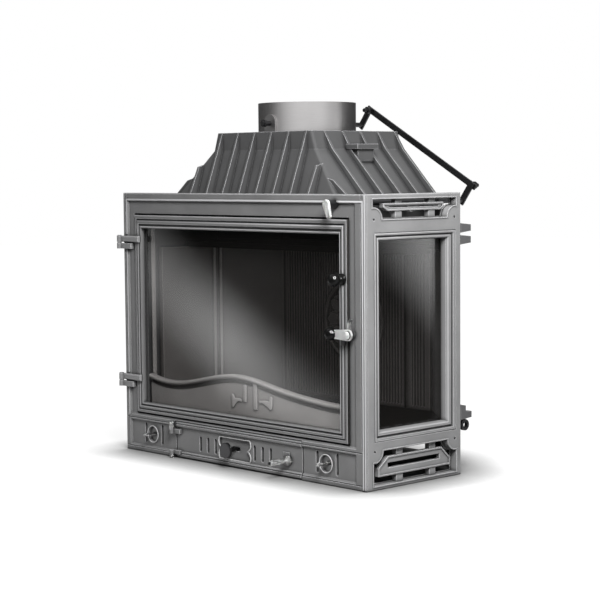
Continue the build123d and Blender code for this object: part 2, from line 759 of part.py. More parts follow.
# Log guard: a plate behind the glass with a waved top edge and a raised rail along it
guard_y = front_y + 42
guard_thickness = 6.0
guard_rail = 9.0
guard_rail_rise = 7.0
guard_x0 = left_wall_x + wall + 12
guard_x1 = floor_right_x - 19
guard_left_z = floor_top + 66.0
guard_right_z = floor_top + 54.0
guard_length = guard_x1 - guard_x0
guard_turns = ((0.19, 61.0), (0.424, 86.0), (0.636, 69.0), (0.769, 58.0))
guard_wave = [(guard_x0, guard_left_z),
              *[(guard_x0 + share * guard_length, floor_top + height)
                for share, height in guard_turns],
              (guard_x1, guard_right_z)]
guard_relief = 3.0
guard_relief_x = guard_x0 + 0.43 * guard_length
guard_bar_z = floor_top + 24.0
guard_bar_height = 40.0
guard_bar_half = 2.0
guard_bar_pitch = 15.0
guard_wing_inner = 17.0
guard_wing_outer = 42.0
guard_wing_height = 5.0
guard_wing_levels = (floor_top + 30.0, floor_top + 47.0)
guard_foot = 14.0
guard_foot_depth = 45.0
guard_foot_inset = 60.0


def guard_relief_bar(x0, x1, z0, z1):
    """A raised bar on the guard's face."""
    block(guard_relief_x + x0, guard_relief_x + x1, guard_y - guard_relief, guard_y, z0, z1)


with BuildPart() as log_guard:
    with BuildSketch(Plane.XZ.offset(-guard_y - guard_thickness)) as guard_outline:
        with BuildLine():
            Spline(*guard_wave)
            Polyline((guard_x1, guard_right_z), (guard_x1, floor_top), (guard_x0, floor_top),
                     (guard_x0, guard_left_z))
        make_face()
    extrude(guard_outline.sketch, amount=guard_thickness)
    with BuildSketch(Plane.XZ.offset(-guard_y)) as rail_outline:
        with BuildLine():
            Spline(*guard_wave)
            Line((guard_x1, guard_right_z), (guard_x1, guard_right_z - guard_rail))
            Spline(*[(x, z - guard_rail) for x, z in reversed(guard_wave)])
            Line((guard_x0, guard_left_z - guard_rail), (guard_x0, guard_left_z))
        make_face()
    extrude(rail_outline.sketch, amount=guard_rail_rise)
    for side in (-1, 1):
        bar_x = side * guard_bar_pitch / 2
        guard_relief_bar(bar_x - guard_bar_half, bar_x + guard_bar_half, guard_bar_z,
                         guard_bar_z + guard_bar_height)
        wing = sorted((side * guard_wing_inner, side * guard_wing_outer))
        for wing_z in guard_wing_levels:
            guard_relief_bar(*wing, wing_z, wing_z + guard_wing_height)
    for foot_x in (guard_x0 + guard_foot_inset, guard_x1 - guard_foot_inset - guard_foot):
        block(foot_x, foot_x + guard_foot, guard_y + guard_thickness,
              guard_y + guard_foot_depth, floor_top, floor_top + guard_foot)
save(log_guard, "log_guard")


# Hood: a lofted shell with an upright band at the top, carried on the top plate
hood_base_z = top_plate_z + wall
hood_seam_half = hood_top_half + hood_band_spread
hood_foot_half = right_edge - hood_foot_margin
hood_side_slope = (hood_foot_half - hood_seam_half) / (hood_seam_z - hood_base_z)
hood_corner = 6.0
fin_foot_z = door_z1 + land_lap + 2
fin_knee_z = frame_height
fin_root = 3.0
front_fin_count = 8
side_fin_count = 6
side_fin_middle_y = -13.0


def side_half(z):
    """Half width of the hood's outside at a level under the seam."""
    return hood_seam_half + (hood_seam_z - z) * hood_side_slope


def front_at(z):
    """Front of the hood's outside at a level under the seam."""
    return hood_front_y - (hood_seam_z - z) * hood_front_slope


def hood_section(z, half, y0, inset):
    """One level of the hood, a rectangle with rounded corners."""
    with BuildSketch(Plane.XY.offset(z)) as section:
        with Locations((flue_x, (y0 + hood_rear_y) / 2)):
            RectangleRounded(2 * (half - inset), hood_rear_y - y0 - 2 * inset, hood_corner)
    return section.sketch


def hood_body(inset, bottom, top, mode):
    """The hood's slopes and band as a solid, set in all round by inset."""
    seam = hood_section(hood_seam_z, hood_seam_half, hood_front_y, inset)
    loft([hood_section(bottom, side_half(bottom), front_at(bottom), inset), seam],
         ruled=True, mode=mode)
    loft([seam, hood_section(top, hood_top_half, hood_front_y, inset)], ruled=True, mode=mode)


def fin_profile(surface, top, ending):
    """A fin's outline as (distance out, level) pairs, along a surface up to its end."""
    outline = [(surface(fin_foot_z) - fin_root, fin_foot_z),
               (surface(fin_foot_z) + fin_foot_depth, fin_foot_z),
               (surface(fin_knee_z) + fin_knee_depth, fin_knee_z)]
    if top < hood_seam_z:
        return outline + [(surface(top) + fin_depth, top - 4), (surface(top) - fin_root, top)]
    return outline + [(surface(hood_seam_z) + fin_depth, hood_seam_z), (ending, hood_top_z),
                      (ending - fin_root, hood_top_z),
                      (surface(hood_seam_z) - fin_root - 1, hood_seam_z)]


def front_out(z):
    """How far the front slope stands out from the flue axis."""
    return -front_at(z)


with BuildPart() as hood:
    hood_body(0, hood_base_z, hood_top_z, Mode.ADD)
    for index in range(front_fin_count):
        offset_x = (index - (front_fin_count - 1) / 2) * fin_pitch
        reach_z = hood_seam_z - (abs(offset_x) + fin_thickness / 2
                                 - hood_seam_half) / hood_side_slope
        outline = fin_profile(front_out, reach_z, -hood_front_y + 0.5)
        plate_yz([(-out, z) for out, z in outline], flue_x + offset_x - fin_thickness / 2,
                 flue_x + offset_x + fin_thickness / 2)
    for index in range(side_fin_count):
        fin_y = side_fin_middle_y + (index - (side_fin_count - 1) / 2) * fin_pitch
        reach_z = hood_seam_z - (hood_front_y - fin_y + fin_thickness / 2) / hood_front_slope
        outline = fin_profile(side_half, reach_z, hood_top_half + 0.5)
        for side in (-1, 1):
            plate_xz([(flue_x + side * out, z) for out, z in outline],
                     fin_y - fin_thickness / 2, fin_y + fin_thickness / 2)
    hood_body(hood_wall, hood_base_z, hood_top_z - hood_wall, Mode.SUBTRACT)
    rod_z(flue_x, 0, flue_radius - flue_wall, hood_top_z - hood_wall - 1, hood_top_z,
          mode=Mode.SUBTRACT)
save(hood, "hood")

# Open-topped pocket on the right slope of the hood, between two fins
pocket_y0 = side_fin_middle_y - fin_pitch / 2
pocket_y1 = side_fin_middle_y + fin_pitch / 2
pocket_x0 = flue_x + hood_seam_half + seat
pocket_x1 = flue_x + hood_seam_half + 28.0
pocket_z0 = hood_seam_z - 27.5
pocket_wall = 4.0
pocket_depth = 16.0
rim_reach = 6.0
rim_overhang = 4.0
rim_height = 10.0
with BuildPart() as hood_pocket:
    plate_xz([(flue_x + side_half(pocket_z0) + seat, pocket_z0), (pocket_x1, pocket_z0 + 5),
              (pocket_x1, hood_seam_z), (pocket_x0, hood_seam_z)],
             pocket_y0 + fin_thickness / 2 + seat, pocket_y1 - fin_thickness / 2 - seat)
    block(pocket_x0, pocket_x1 + rim_reach, pocket_y0 - rim_overhang, pocket_y1 + rim_overhang,
          hood_seam_z, hood_seam_z + rim_height)
    block(pocket_x0 + pocket_wall, pocket_x1 - pocket_wall, pocket_y0 + 2 * pocket_wall,
          pocket_y1 - 2 * pocket_wall, hood_seam_z - pocket_depth, hood_seam_z + rim_height,
          mode=Mode.SUBTRACT)
    for fin_y in (pocket_y0, pocket_y1):
        block(pocket_x0, pocket_x0 + fin_depth, fin_y - fin_thickness / 2 - seat,
              fin_y + fin_thickness / 2 + seat, hood_seam_z, hood_seam_z + rim_height,
              mode=Mode.SUBTRACT)
save(hood_pocket, "hood_pocket")

# Flue collar with a boss at the front and the rear for the damper shaft
collar_top_z = hood_top_z + collar_height
boss_half = 16.0
boss_centre_z = damper_z + 2
boss_reach = 4.0
boss_root = 12.0
socket_depth = 30.0
socket_step = 1.5
with BuildPart() as flue_collar:
    rod_z(flue_x, 0, flue_radius, hood_top_z, collar_top_z)
    for side in (-1, 1):
        y0, y1 = sorted((side * (flue_radius - boss_root), side * (flue_radius + boss_reach)))
        block(flue_x - boss_half, flue_x + boss_half, y0, y1, hood_top_z, boss_centre_z)
        rod_y(flue_x, boss_centre_z, boss_half, y0, y1)
    rod_z(flue_x, 0, flue_radius - flue_wall, hood_top_z, collar_top_z, mode=Mode.SUBTRACT)
    rod_z(flue_x, 0, flue_radius - flue_wall + socket_step, collar_top_z - socket_depth,
          collar_top_z, mode=Mode.SUBTRACT)
    rod_y(flue_x, damper_z, shaft_radius + running, -flue_radius - boss_reach,
          flue_radius + boss_reach, mode=Mode.SUBTRACT)
save(flue_collar, "flue_collar")

# Damper: shaft and disc. The disc lies level at rest and closes the flue.
crank_half = 6.5
crank_tail = 8.0
crank_thickness = 4.0
crank_y0 = linkage_y - crank_thickness
pin_radius = 4.0
head_radius = 7.5
head_thickness = 5.0
shaft_end_y = -flue_radius - 25
with BuildPart() as damper_shaft:
    rod_y(flue_x, damper_z, shaft_radius, shaft_end_y, crank_y0)
    rod_y(flue_x, damper_z, head_radius, shaft_end_y + 3, shaft_end_y + 3 + head_thickness)
save(damper_shaft, "damper_shaft")

disc_clearance = 5.0
disc_thickness = 3.0
disc_radius = flue_radius - flue_wall - disc_clearance
disc_hub_half = disc_radius - 10
with BuildPart() as damper_disc:
    rod_z(flue_x, 0, disc_radius, damper_z - disc_thickness / 2, damper_z + disc_thickness / 2)
    rod_y(flue_x, damper_z, shaft_radius + 3, -disc_hub_half, disc_hub_half)
    rod_y(flue_x, damper_z, shaft_radius + running, -disc_radius, disc_radius,
          mode=Mode.SUBTRACT)
save(damper_disc, "damper_disc")


def bar_outline(x0, z0, x1, z1, half, tail):
    """Corners of a flat bar from one pivot to the next, running tail past both."""
    length = hypot(x1 - x0, z1 - z0)
    ux, uz = (x1 - x0) / length, (z1 - z0) / length
    px, pz = -uz * half, ux * half
    ax, az = x0 - ux * tail, z0 - uz * tail
    bx, bz = x1 + ux * tail, z1 + uz * tail
    return [(ax + px, az + pz), (bx + px, bz + pz), (bx - px, bz - pz), (ax - px, az - pz)]


def crank(x, z):
    """A crank plate on the end of the shaft at x, z."""
    plate_xz(bar_outline(x, z, x + crank_dx, z + crank_dz, crank_half, crank_tail), crank_y0,
             linkage_y)


open_pivot_clearance = 1.2
with BuildPart() as damper_crank:
    crank(flue_x, damper_z)
    rod_y(flue_x + crank_dx, damper_z + crank_dz, pin_radius + open_pivot_clearance, crank_y0,
          linkage_y, mode=Mode.SUBTRACT)
save(damper_crank, "damper_crank")

# Link rod: a flat bar between the two crank pins. It carries the upper pin.
rod_gap = 1.0
rod_thickness = 4.0
rod_half = 6.0
rod_tail = 9.0
rod_y0 = linkage_y + rod_gap
rod_y1 = rod_y0 + rod_thickness
upper_pin_x = flue_x + crank_dx
upper_pin_z = damper_z + crank_dz
lower_pin_x = lever_x + crank_dx
lower_pin_z = lever_z + crank_dz
pin_reach = 14.0
with BuildPart() as link_rod:
    plate_xz(bar_outline(lower_pin_x, lower_pin_z, upper_pin_x, upper_pin_z, rod_half,
                         rod_tail), rod_y0, rod_y1)
    rod_y(upper_pin_x, upper_pin_z, pin_radius, crank_y0 - pin_reach, rod_y0)
    rod_y(upper_pin_x, upper_pin_z, head_radius, crank_y0 - 1 - head_thickness, crank_y0 - 1)
    rod_y(lower_pin_x, lower_pin_z, pin_radius + running, rod_y0, rod_y1, mode=Mode.SUBTRACT)
save(link_rod, "link_rod")

# Control shaft along the right of the hood, with the front lever and the rear crank
lever_y1 = front_y - 18
lever_thickness = 6.0
lever_tilt = 17.0
lever_half = 5.0
lever_door_clearance = 0.6
lever_length = ((lever_z - lever_half - lever_door_clearance - (door_z1 - door_gap))
                / cos(radians(lever_tilt)))
lever_hub_radius = 8.0
with BuildPart() as control_shaft:
    rod_y(lever_x, lever_z, shaft_radius, lever_y1, crank_y0)
    rod_y(lever_x, lever_z, lever_hub_radius, lever_y1, front_y - 4)
save(control_shaft, "control_shaft")

lever_tip_x = lever_x + lever_length * sin(radians(lever_tilt))
lever_tip_z = lever_z - lever_length * cos(radians(lever_tilt))
with BuildPart() as control_lever:
    plate_xz(bar_outline(lever_x, lever_z, lever_tip_x, lever_tip_z, lever_half, 0),
             lever_y1 - lever_thickness, lever_y1)
    rod_y(lever_x, lever_z, lever_hub_radius, lever_y1 - lever_thickness, lever_y1)
    rod_y(lever_tip_x, lever_tip_z, lever_half, lever_y1 - lever_thickness, lever_y1)
    chamfer(front_edges(control_lever, lever_y1 - lever_thickness), length=1.2)
save(control_lever, "control_lever")

with BuildPart() as control_crank:
    crank(lever_x, lever_z)
    rod_y(lever_x + crank_dx, lever_z + crank_dz, pin_radius, linkage_y, rod_y1 + pin_reach)
    rod_y(lever_x + crank_dx, lever_z + crank_dz, head_radius, rod_y1 + 1,
          rod_y1 + 1 + head_thickness)
save(control_crank, "control_crank")

# Bearing bracket for the shaft on the top plate, between two fins and beside the hood
bracket_y0 = side_fin_middle_y + 1.5 * fin_pitch + 16.0
bracket_thickness = 6.0
bracket_radius = 11.0
bracket_foot_x = flue_x + side_half(hood_base_z) + 2
bracket_foot = 16.0
with BuildPart() as shaft_bracket:
    plate_xz([(bracket_foot_x, hood_base_z), (bracket_foot_x + bracket_foot, hood_base_z),
              (lever_x + bracket_radius, lever_z), (lever_x - bracket_radius, lever_z)],
             bracket_y0, bracket_y0 + bracket_thickness)
    rod_y(lever_x, lever_z, bracket_radius, bracket_y0, bracket_y0 + bracket_thickness)
    rod_y(lever_x, lever_z, shaft_radius + running, bracket_y0, bracket_y0 + bracket_thickness,
          mode=Mode.SUBTRACT)
save(shaft_bracket, "shaft_bracket")

# Front door: a frame with stepped mouldings round its window
dx0 = door_x0 + door_gap
dx1 = door_x1 - door_gap
dz0 = door_z0 + door_gap
dz1 = door_z1 - door_gap
door_back = front_y + door_thickness
view_x0 = dx0 + door_stile_left
view_x1 = dx1 - door_stile_right
view_z0 = dz0 + door_rail_bottom
view_z1 = dz1 - door_rail_top
edge_y = front_y + 1.0
step_y = front_y + 3.5
ridge_step = 6.5
top_ridge_step = 14.0
reveal_step = 5.0
reveal_inner = 3.0
reveal_rise = 2.0
with BuildPart() as door_frame:
    block(dx0, dx1, edge_y, door_back, dz0, dz1)
    block(dx0 + ridge_step, dx1 - ridge_step, edge_y, step_y, dz0 + ridge_step,
          dz1 - ridge_step, mode=Mode.SUBTRACT)
    block(dx0 + ridge_step + 1, dx1 - ridge_step - 3, front_y, step_y, dz0 + ridge_step + 2,
          dz1 - ridge_step - 5)
    block(view_x0 - reveal_step, view_x1 + reveal_step + 2, front_y, step_y,
          view_z0 - reveal_step, view_z1 + top_ridge_step, mode=Mode.SUBTRACT)
    block(view_x0 - reveal_inner, view_x1 + reveal_inner, front_y + reveal_rise, step_y,
          view_z0 - reveal_inner, view_z1 + reveal_inner)
    block(view_x0, view_x1, front_y, door_back, view_z0, view_z1, mode=Mode.SUBTRACT)
    chamfer(front_edges(door_frame, front_y), length=0.9)
    chamfer(front_edges(door_frame, edge_y), length=0.9)
save(door_frame, "door_frame")

glass_y0 = door_back + seat / 2
glass_y1 = glass_y0 + glass_thickness
with BuildPart() as door_glass:
    block(view_x0 - glass_lap, view_x1 + glass_lap, glass_y0, glass_y1, view_z0 - glass_lap,
          view_z1 + glass_lap)
save(door_glass, "door_glass")

seal_inset = 2.0
seal_inner = seal_inset + seal_width
with BuildPart() as door_seal:
    block(dx0 + seal_inset, dx1 - seal_inset, door_back, land_front - seat, dz0 + seal_inset,
          dz1 - seal_inset)
    block(dx0 + seal_inner, dx1 - seal_inner, door_back, land_front - seat, dz0 + seal_inner,
          dz1 - seal_inner, mode=Mode.SUBTRACT)
save(door_seal, "door_seal")

door_clip_thickness = 1.2
door_clip_width = 24.0
door_clip_reach = 11.5
door_clip_inset = 90.0
door_clip_lap = 3.0
door_clip_xs = (view_x0 + door_clip_inset, (view_x0 + view_x1) / 2, view_x1 - door_clip_inset)
with BuildPart() as door_glass_clips:
    for clip_x in door_clip_xs:
        for edge_z, side in ((view_z0, -1), (view_z1, 1)):
            inner_z = edge_z + side * door_clip_lap
            foot_z = edge_z + side * (glass_lap + seat)
            outer_z = edge_z + side * door_clip_reach
            block(clip_x - door_clip_width / 2, clip_x + door_clip_width / 2, glass_y1,
                  glass_y1 + door_clip_thickness, min(inner_z, outer_z), max(inner_z, outer_z))
            block(clip_x - door_clip_width / 2, clip_x + door_clip_width / 2, door_back,
                  glass_y1, min(foot_z, outer_z), max(foot_z, outer_z))
save(door_glass_clips, "door_glass_clips")

# Hinges: arms on the door sit on lugs of the frame, on one upright pin line
hinge_x = left_edge - 6.0
hinge_y = front_y - 6.5
knuckle_radius = 5.5
hinge_pin_radius = 3.0
arm_height = 13.0
arm_rise = 6.0
arm_gap = 0.4
lug_height = 11.5
washer_thickness = 2.4
washer_radius = 4.6
hinge_gap = 0.4
arm_bevel = 2.0
pin_proud = 1.5
arm_levels = (sill_height + 70.5, door_z1 - 61.0)
arm_y0 = front_y - arm_rise
arm_y1 = front_y - arm_gap

with BuildPart() as door_hinge_arms:
    for arm_z in arm_levels:
        block(hinge_x, view_x0, arm_y0, arm_y1, arm_z, arm_z + arm_height)
    chamfer(front_edges(door_hinge_arms, arm_y0).filter_by(Axis.X), length=arm_bevel)
    for arm_z in arm_levels:
        rod_z(hinge_x, hinge_y, knuckle_radius, arm_z, arm_z + arm_height)
        rod_z(hinge_x, hinge_y, hinge_pin_radius + running, arm_z, arm_z + arm_height,
              mode=Mode.SUBTRACT)
        block(dx0 + ridge_step + 1, view_x0, arm_y1, front_y, arm_z, arm_z + arm_height)
save(door_hinge_arms, "door_hinge_arms")

with BuildPart() as frame_hinge_lugs:
    for arm_z in arm_levels:
        pin_top = arm_z + arm_height + pin_proud
        washer_z = arm_z - hinge_gap - washer_thickness
        block(hinge_x, door_x0 - 1, arm_y0, front_y, washer_z - lug_height, washer_z)
        block(left_edge + border_left + seat, door_x0 - 1, front_y, face_y,
              washer_z - lug_height, washer_z)
        rod_z(hinge_x, hinge_y, knuckle_radius, washer_z - lug_height, washer_z)
        rod_z(hinge_x, hinge_y, washer_radius, washer_z, washer_z + washer_thickness)
        rod_z(hinge_x, hinge_y, hinge_pin_radius, washer_z, pin_top)
        rod_z(hinge_x, hinge_y, washer_radius, arm_z + arm_height + hinge_gap, pin_top)
save(frame_hinge_lugs, "frame_hinge_lugs")

# Door knob: a ball on a stem with a round rosette
knob_x = (view_x1 + dx1) / 2 - 2
knob_z = door_z1 - 114.5
knob_radius = 13.0
knob_reach = 20.0
knob_stem_radius = 5.0
knob_disc_radius = 11.0
knob_disc_thickness = 4.0
with BuildPart() as door_knob:
    with Locations((knob_x, front_y - knob_reach, knob_z)):
        Sphere(knob_radius)
    rod_y(knob_x, knob_z, knob_stem_radius, front_y - knob_reach, front_y)
    rod_y(knob_x, knob_z, knob_disc_radius, front_y - knob_disc_thickness, front_y)
save(door_knob, "door_knob")

# Latch: the plate is part of the door and reaches over the gap, and the lever turns on it
latch_x = dx1 + 15.5
latch_z = (door_z0 + door_z1) / 2 - 3.0
latch_pin_radius = 4.0
plate_rise = 5.0
plate_half = 15.0
plate_top = latch_z + plate_half
plate_y0 = front_y - plate_rise
plate_y1 = front_y - arm_gap
plate_x0 = view_x1 + 10
plate_x1 = latch_x + 6
latch_y1 = plate_y0 - 1.0
latch_bar_thickness = 5.0
latch_y0 = latch_y1 - latch_bar_thickness - 5
latch_play = 0.5
with BuildPart() as latch_plate:
    block(plate_x0, plate_x1, plate_y0, plate_y1, latch_z - plate_half, latch_z + plate_half)
    chamfer(front_edges(latch_plate, plate_y0), length=1.5)
    block(plate_x0, dx1 - ridge_step - 3, plate_y1, front_y, latch_z - plate_half + 2,
          latch_z + plate_half - 2)
    plate_xz([(plate_x0 + 7, plate_top - 2), (plate_x0 + 15, plate_top - 2),
              (plate_x0 + 13, plate_top + 11), (plate_x0 + 8, plate_top + 15),
              (plate_x0 + 10, plate_top + 8)], plate_y0, plate_y1)
    rod_y(latch_x, latch_z, latch_pin_radius, latch_y0 - latch_play, plate_y0)
save(latch_plate, "latch_plate")

latch_ball_x = latch_x - 44.0
latch_ball_radius = 12.5
latch_bar_half = 9.0
latch_hub_radius = 10.5
latch_washer_radius = 9.0
with BuildPart() as latch_lever:
    block(latch_ball_x, latch_x, latch_y0, latch_y0 + latch_bar_thickness,
          latch_z - latch_bar_half, latch_z + latch_bar_half + 0.5)
    rod_y(latch_x, latch_z, latch_hub_radius, latch_y0, latch_y0 + latch_bar_thickness)
    chamfer(front_edges(latch_lever, latch_y0), length=1.2)
    rod_y(latch_x, latch_z, latch_washer_radius, latch_y0 + latch_bar_thickness, latch_y1)
    with Locations((latch_ball_x, latch_y0 + 1, latch_z)):
        Sphere(latch_ball_radius, rotation=(0, 0, 180))
    rod_y(latch_x, latch_z, latch_pin_radius + running, latch_y0, latch_y1, mode=Mode.SUBTRACT)
save(latch_lever, "latch_lever")

bolt_head_radius = 7.5
bolt_y1 = latch_y0 - latch_play
bolt_y0 = bolt_y1 - 5.0
with BuildPart() as latch_bolt:
    rod_y(latch_x, latch_z, bolt_head_radius, bolt_y0, bolt_y1)
    chamfer(front_edges(latch_bolt, bolt_y0), length=1.5)
save(latch_bolt, "latch_bolt")

# Ash door: slotted plate with a cartouche recess, on two barrel hinges at its left
ash_z0 = 2.0
ash_z1 = ash_top - 2.0
ash_back = front_y + ash_thickness
barrel_radius = 5.0
barrel_pin_radius = 2.5
barrel_gap = 0.5
ash_hinge_x = ash_left - 7.0
ash_hinge_y = front_y - barrel_radius - arm_gap
leaf_end_x = ash_left + 16.0
leaf_thickness = 2.4
leaf_inset = 0.5
leaf_y1 = front_y - arm_gap - leaf_inset
door_barrels = ((51.0, 60.0), (7.5, 16.0))
frame_barrels = ((60.5, 75.0), (0.5, 7.0))
cartouche_half = 44.0
cartouche_waist = 37.5
cartouche_bulge = 3.0
cartouche_z0 = 15.5
cartouche_z1 = 57.5
cartouche_depth = 3.5
knob_slot_length = 26.0
knob_slot_height = 9.0
slot_z = (slot_bottom + slot_top) / 2
slot_height = slot_top - slot_bottom
handle_x = ash_right - 38.5
handle_z = 33.5
neck_radius = 4.5

with BuildPart() as ash_door:
    block(ash_left, ash_right, front_y, ash_back, ash_z0, ash_z1)
    block(ash_left, ash_right, front_y, face_y, bottom_strip, panel_top, mode=Mode.SUBTRACT)
    chamfer(front_edges(ash_door, front_y), length=outer_bevel)
    for line_z in (moulding_line_z, bottom_line_z):
        block(ash_left, ash_right, front_y, front_y + groove_depth, line_z,
              line_z + groove_width, mode=Mode.SUBTRACT)
    for side in (-1, 1):
        for index in range(slot_count):
            slot_y(air_centre_x + side * (slot_first + index * slot_pitch), slot_z,
                   slot_width, slot_height, face_y, ash_back)
    waist_z = (cartouche_z0 + cartouche_z1) / 2
    quarter = (cartouche_z1 - cartouche_z0) / 4
    with BuildSketch(Plane.XZ.offset(-face_y - cartouche_depth)) as cartouche:
        with BuildLine():
            corner = air_centre_x + cartouche_half
            bulge = corner + cartouche_bulge
            waist = air_centre_x + cartouche_waist
            Line((air_centre_x, cartouche_z1), (corner, cartouche_z1))
            ThreePointArc((corner, cartouche_z1), (bulge, waist_z + quarter), (waist, waist_z))
            ThreePointArc((waist, waist_z), (bulge, waist_z - quarter), (corner, cartouche_z0))
            Line((corner, cartouche_z0), (air_centre_x, cartouche_z0))
            mirror(about=Plane.YZ.offset(air_centre_x))
        make_face()
    extrude(cartouche.sketch, amount=cartouche_depth, mode=Mode.SUBTRACT)
    slot_y(air_centre_x, air_centre_z, knob_slot_length, knob_slot_height, face_y, ash_back)
    rod_y(handle_x, handle_z, neck_radius + running, front_y, ash_back, mode=Mode.SUBTRACT)
    for barrel_z0, barrel_z1 in door_barrels:
        block(ash_hinge_x, leaf_end_x, leaf_y1 - leaf_thickness, leaf_y1, barrel_z0, barrel_z1)
        block(ash_left + 1, leaf_end_x, leaf_y1 - 1, face_y, barrel_z0, barrel_z1)
        rod_z(ash_hinge_x, ash_hinge_y, barrel_radius, barrel_z0, barrel_z1)
        rod_z(ash_hinge_x, ash_hinge_y, barrel_pin_radius + running, barrel_z0, barrel_z1,
              mode=Mode.SUBTRACT)
save(ash_door, "ash_door")

with BuildPart() as ash_hinge_lugs:
    for (arm_z0, arm_z1), (lug_z0, lug_z1) in zip(door_barrels, frame_barrels):
        rod_z(ash_hinge_x, ash_hinge_y, barrel_radius, lug_z0, lug_z1)
        block(ash_hinge_x - barrel_radius, ash_hinge_x, ash_hinge_y, front_y, lug_z0, lug_z1)
        rod_z(ash_hinge_x, ash_hinge_y, barrel_pin_radius, min(arm_z0, lug_z0),
              max(arm_z1, lug_z1))
save(ash_hinge_lugs, "ash_hinge_lugs")

# Shutters behind the slots, each held to its plate by two rails with lips
shutter_thickness = 2.0
shutter_gap = 0.5
shutter_lap = 6.0
rail_height = 4.0
rail_lip = 1.5
lip_thickness = 1.0


def slide_rails(x0, x1, back_y, z0, z1):
    """The two rails of one shutter that runs between the levels z0 and z1."""
    lip_y = back_y + 2 * shutter_gap + shutter_thickness
    for edge_z, side in ((z0, -1), (z1, 1)):
        near = edge_z + side * slide_clearance
        far = near + side * rail_height
        lip = near - side * rail_lip
        block(x0, x1, back_y, lip_y, min(near, far), max(near, far))
        block(x0, x1, lip_y, lip_y + lip_thickness, min(lip, far), max(lip, far))


shutter_y0 = ash_back + shutter_gap
shutter_half = slot_first + (slot_count - 1) * slot_pitch + 8
disc_y0 = front_y - 23.5
disc_out_thickness = 6.0
disc_out_radius = 16.0
stem_radius = 3.5
with BuildPart() as air_slide:
    block(air_centre_x - shutter_half, air_centre_x + shutter_half, shutter_y0,
          shutter_y0 + shutter_thickness, slot_bottom - shutter_lap, slot_top + shutter_lap)
    for side in (-1, 1):
        for index in range(slot_count):
            slot_y(air_centre_x + side * (slot_first + index * slot_pitch), slot_z,
                   slot_width + 1, slot_height, shutter_y0, shutter_y0 + shutter_thickness)
    rod_y(air_centre_x, air_centre_z, stem_radius, disc_y0 + 1, shutter_y0 + 1)
    rod_y(air_centre_x, air_centre_z, disc_out_radius, disc_y0, disc_y0 + disc_out_thickness)
    rim = front_edges(air_slide, disc_y0)
    fillet(rim, radius=2.0)
save(air_slide, "air_slide")

with BuildPart() as air_slide_rails:
    slide_rails(air_centre_x - shutter_half, air_centre_x + shutter_half, ash_back,
                slot_bottom - shutter_lap, slot_top + shutter_lap)
save(air_slide_rails, "air_slide_rails")

# Handle of the ash door: grip, ferrule, neck and a short inner cam
ferrule_y = front_y - 20
ferrule_radius = 6.2
grip_y1 = ferrule_y - 8
grip_y0 = grip_y1 - 20
grip_radius = 5.6
collar_y1 = face_y - 0.5
collar_thickness = 4.5
cam_thickness = 2.5
cam_half = 5.0
cam_y0 = ash_back + 0.5
with BuildPart() as ash_handle:
    rod_y(handle_x, handle_z, neck_radius, ferrule_y, ash_back + 1)
    rod_y(handle_x, handle_z, neck_radius + 3, collar_y1 - collar_thickness, collar_y1)
    rod_y(handle_x, handle_z, ferrule_radius, grip_y1, ferrule_y)
    rod_y(handle_x, handle_z, grip_radius, grip_y0, grip_y1)
    fillet(front_edges(ash_handle, grip_y0), radius=1.5)
    block(handle_x - cam_half, handle_x + cam_half, cam_y0, cam_y0 + cam_thickness,
          handle_z - 6, handle_z + 20)
save(ash_handle, "ash_handle")

with BuildPart() as ash_handle_plate:
    block(handle_x - 15, handle_x + 3, face_y - 1.5, face_y, handle_z + 8, handle_z + 16)
save(ash_handle_plate, "ash_handle_plate")

# Air slides of the two bottom panels, each with a peg through its slot
panel_slide_y0 = frame_back + shutter_gap
panel_slide_half = 40.0
panel_lap = 4.0
peg_radius = 2.6
peg_ball_radius = 4.5
peg_reach = 20.0


def panel_slide(group_x):
    """A shutter behind a bottom panel, with two slots and a peg."""
    block(group_x - panel_slide_half, group_x + panel_slide_half, panel_slide_y0,
          panel_slide_y0 + shutter_thickness, group_slot_bottom - panel_lap,
          group_slot_top + panel_lap)
    for side in (-1, 1):
        slot_y(group_x + side * group_slot_offset, group_slot_z, slot_width,
               group_slot_height, panel_slide_y0, panel_slide_y0 + shutter_thickness)
    rod_y(group_x, dish_z, peg_radius, front_y - peg_reach, panel_slide_y0 + 1)
    with Locations((group_x, front_y - peg_reach, dish_z)):
        Sphere(peg_ball_radius)


with BuildPart() as left_air_slide:
    panel_slide(left_group_x)
save(left_air_slide, "left_air_slide")

with BuildPart() as right_air_slide:
    panel_slide(right_group_x)
save(right_air_slide, "right_air_slide")

with BuildPart() as panel_slide_rails:
    for group_x in (left_group_x, right_group_x):
        slide_rails(group_x - panel_slide_half, group_x + panel_slide_half, frame_back,
                    group_slot_bottom - panel_lap, group_slot_top + panel_lap)
save(panel_slide_rails, "panel_slide_rails")
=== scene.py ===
# %% [markdown]
# # A cast-iron fireplace insert, glazed round one corner
#
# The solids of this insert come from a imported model, in metres, already in
# their places. This lesson dresses them: finishes for the castings, steel,
# glass and rope, a few finer pieces that the solids only block out, and a
# small studio to look at the result in.

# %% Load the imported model
import math

import bmesh
import bpy
from mathutils import Matrix, Vector


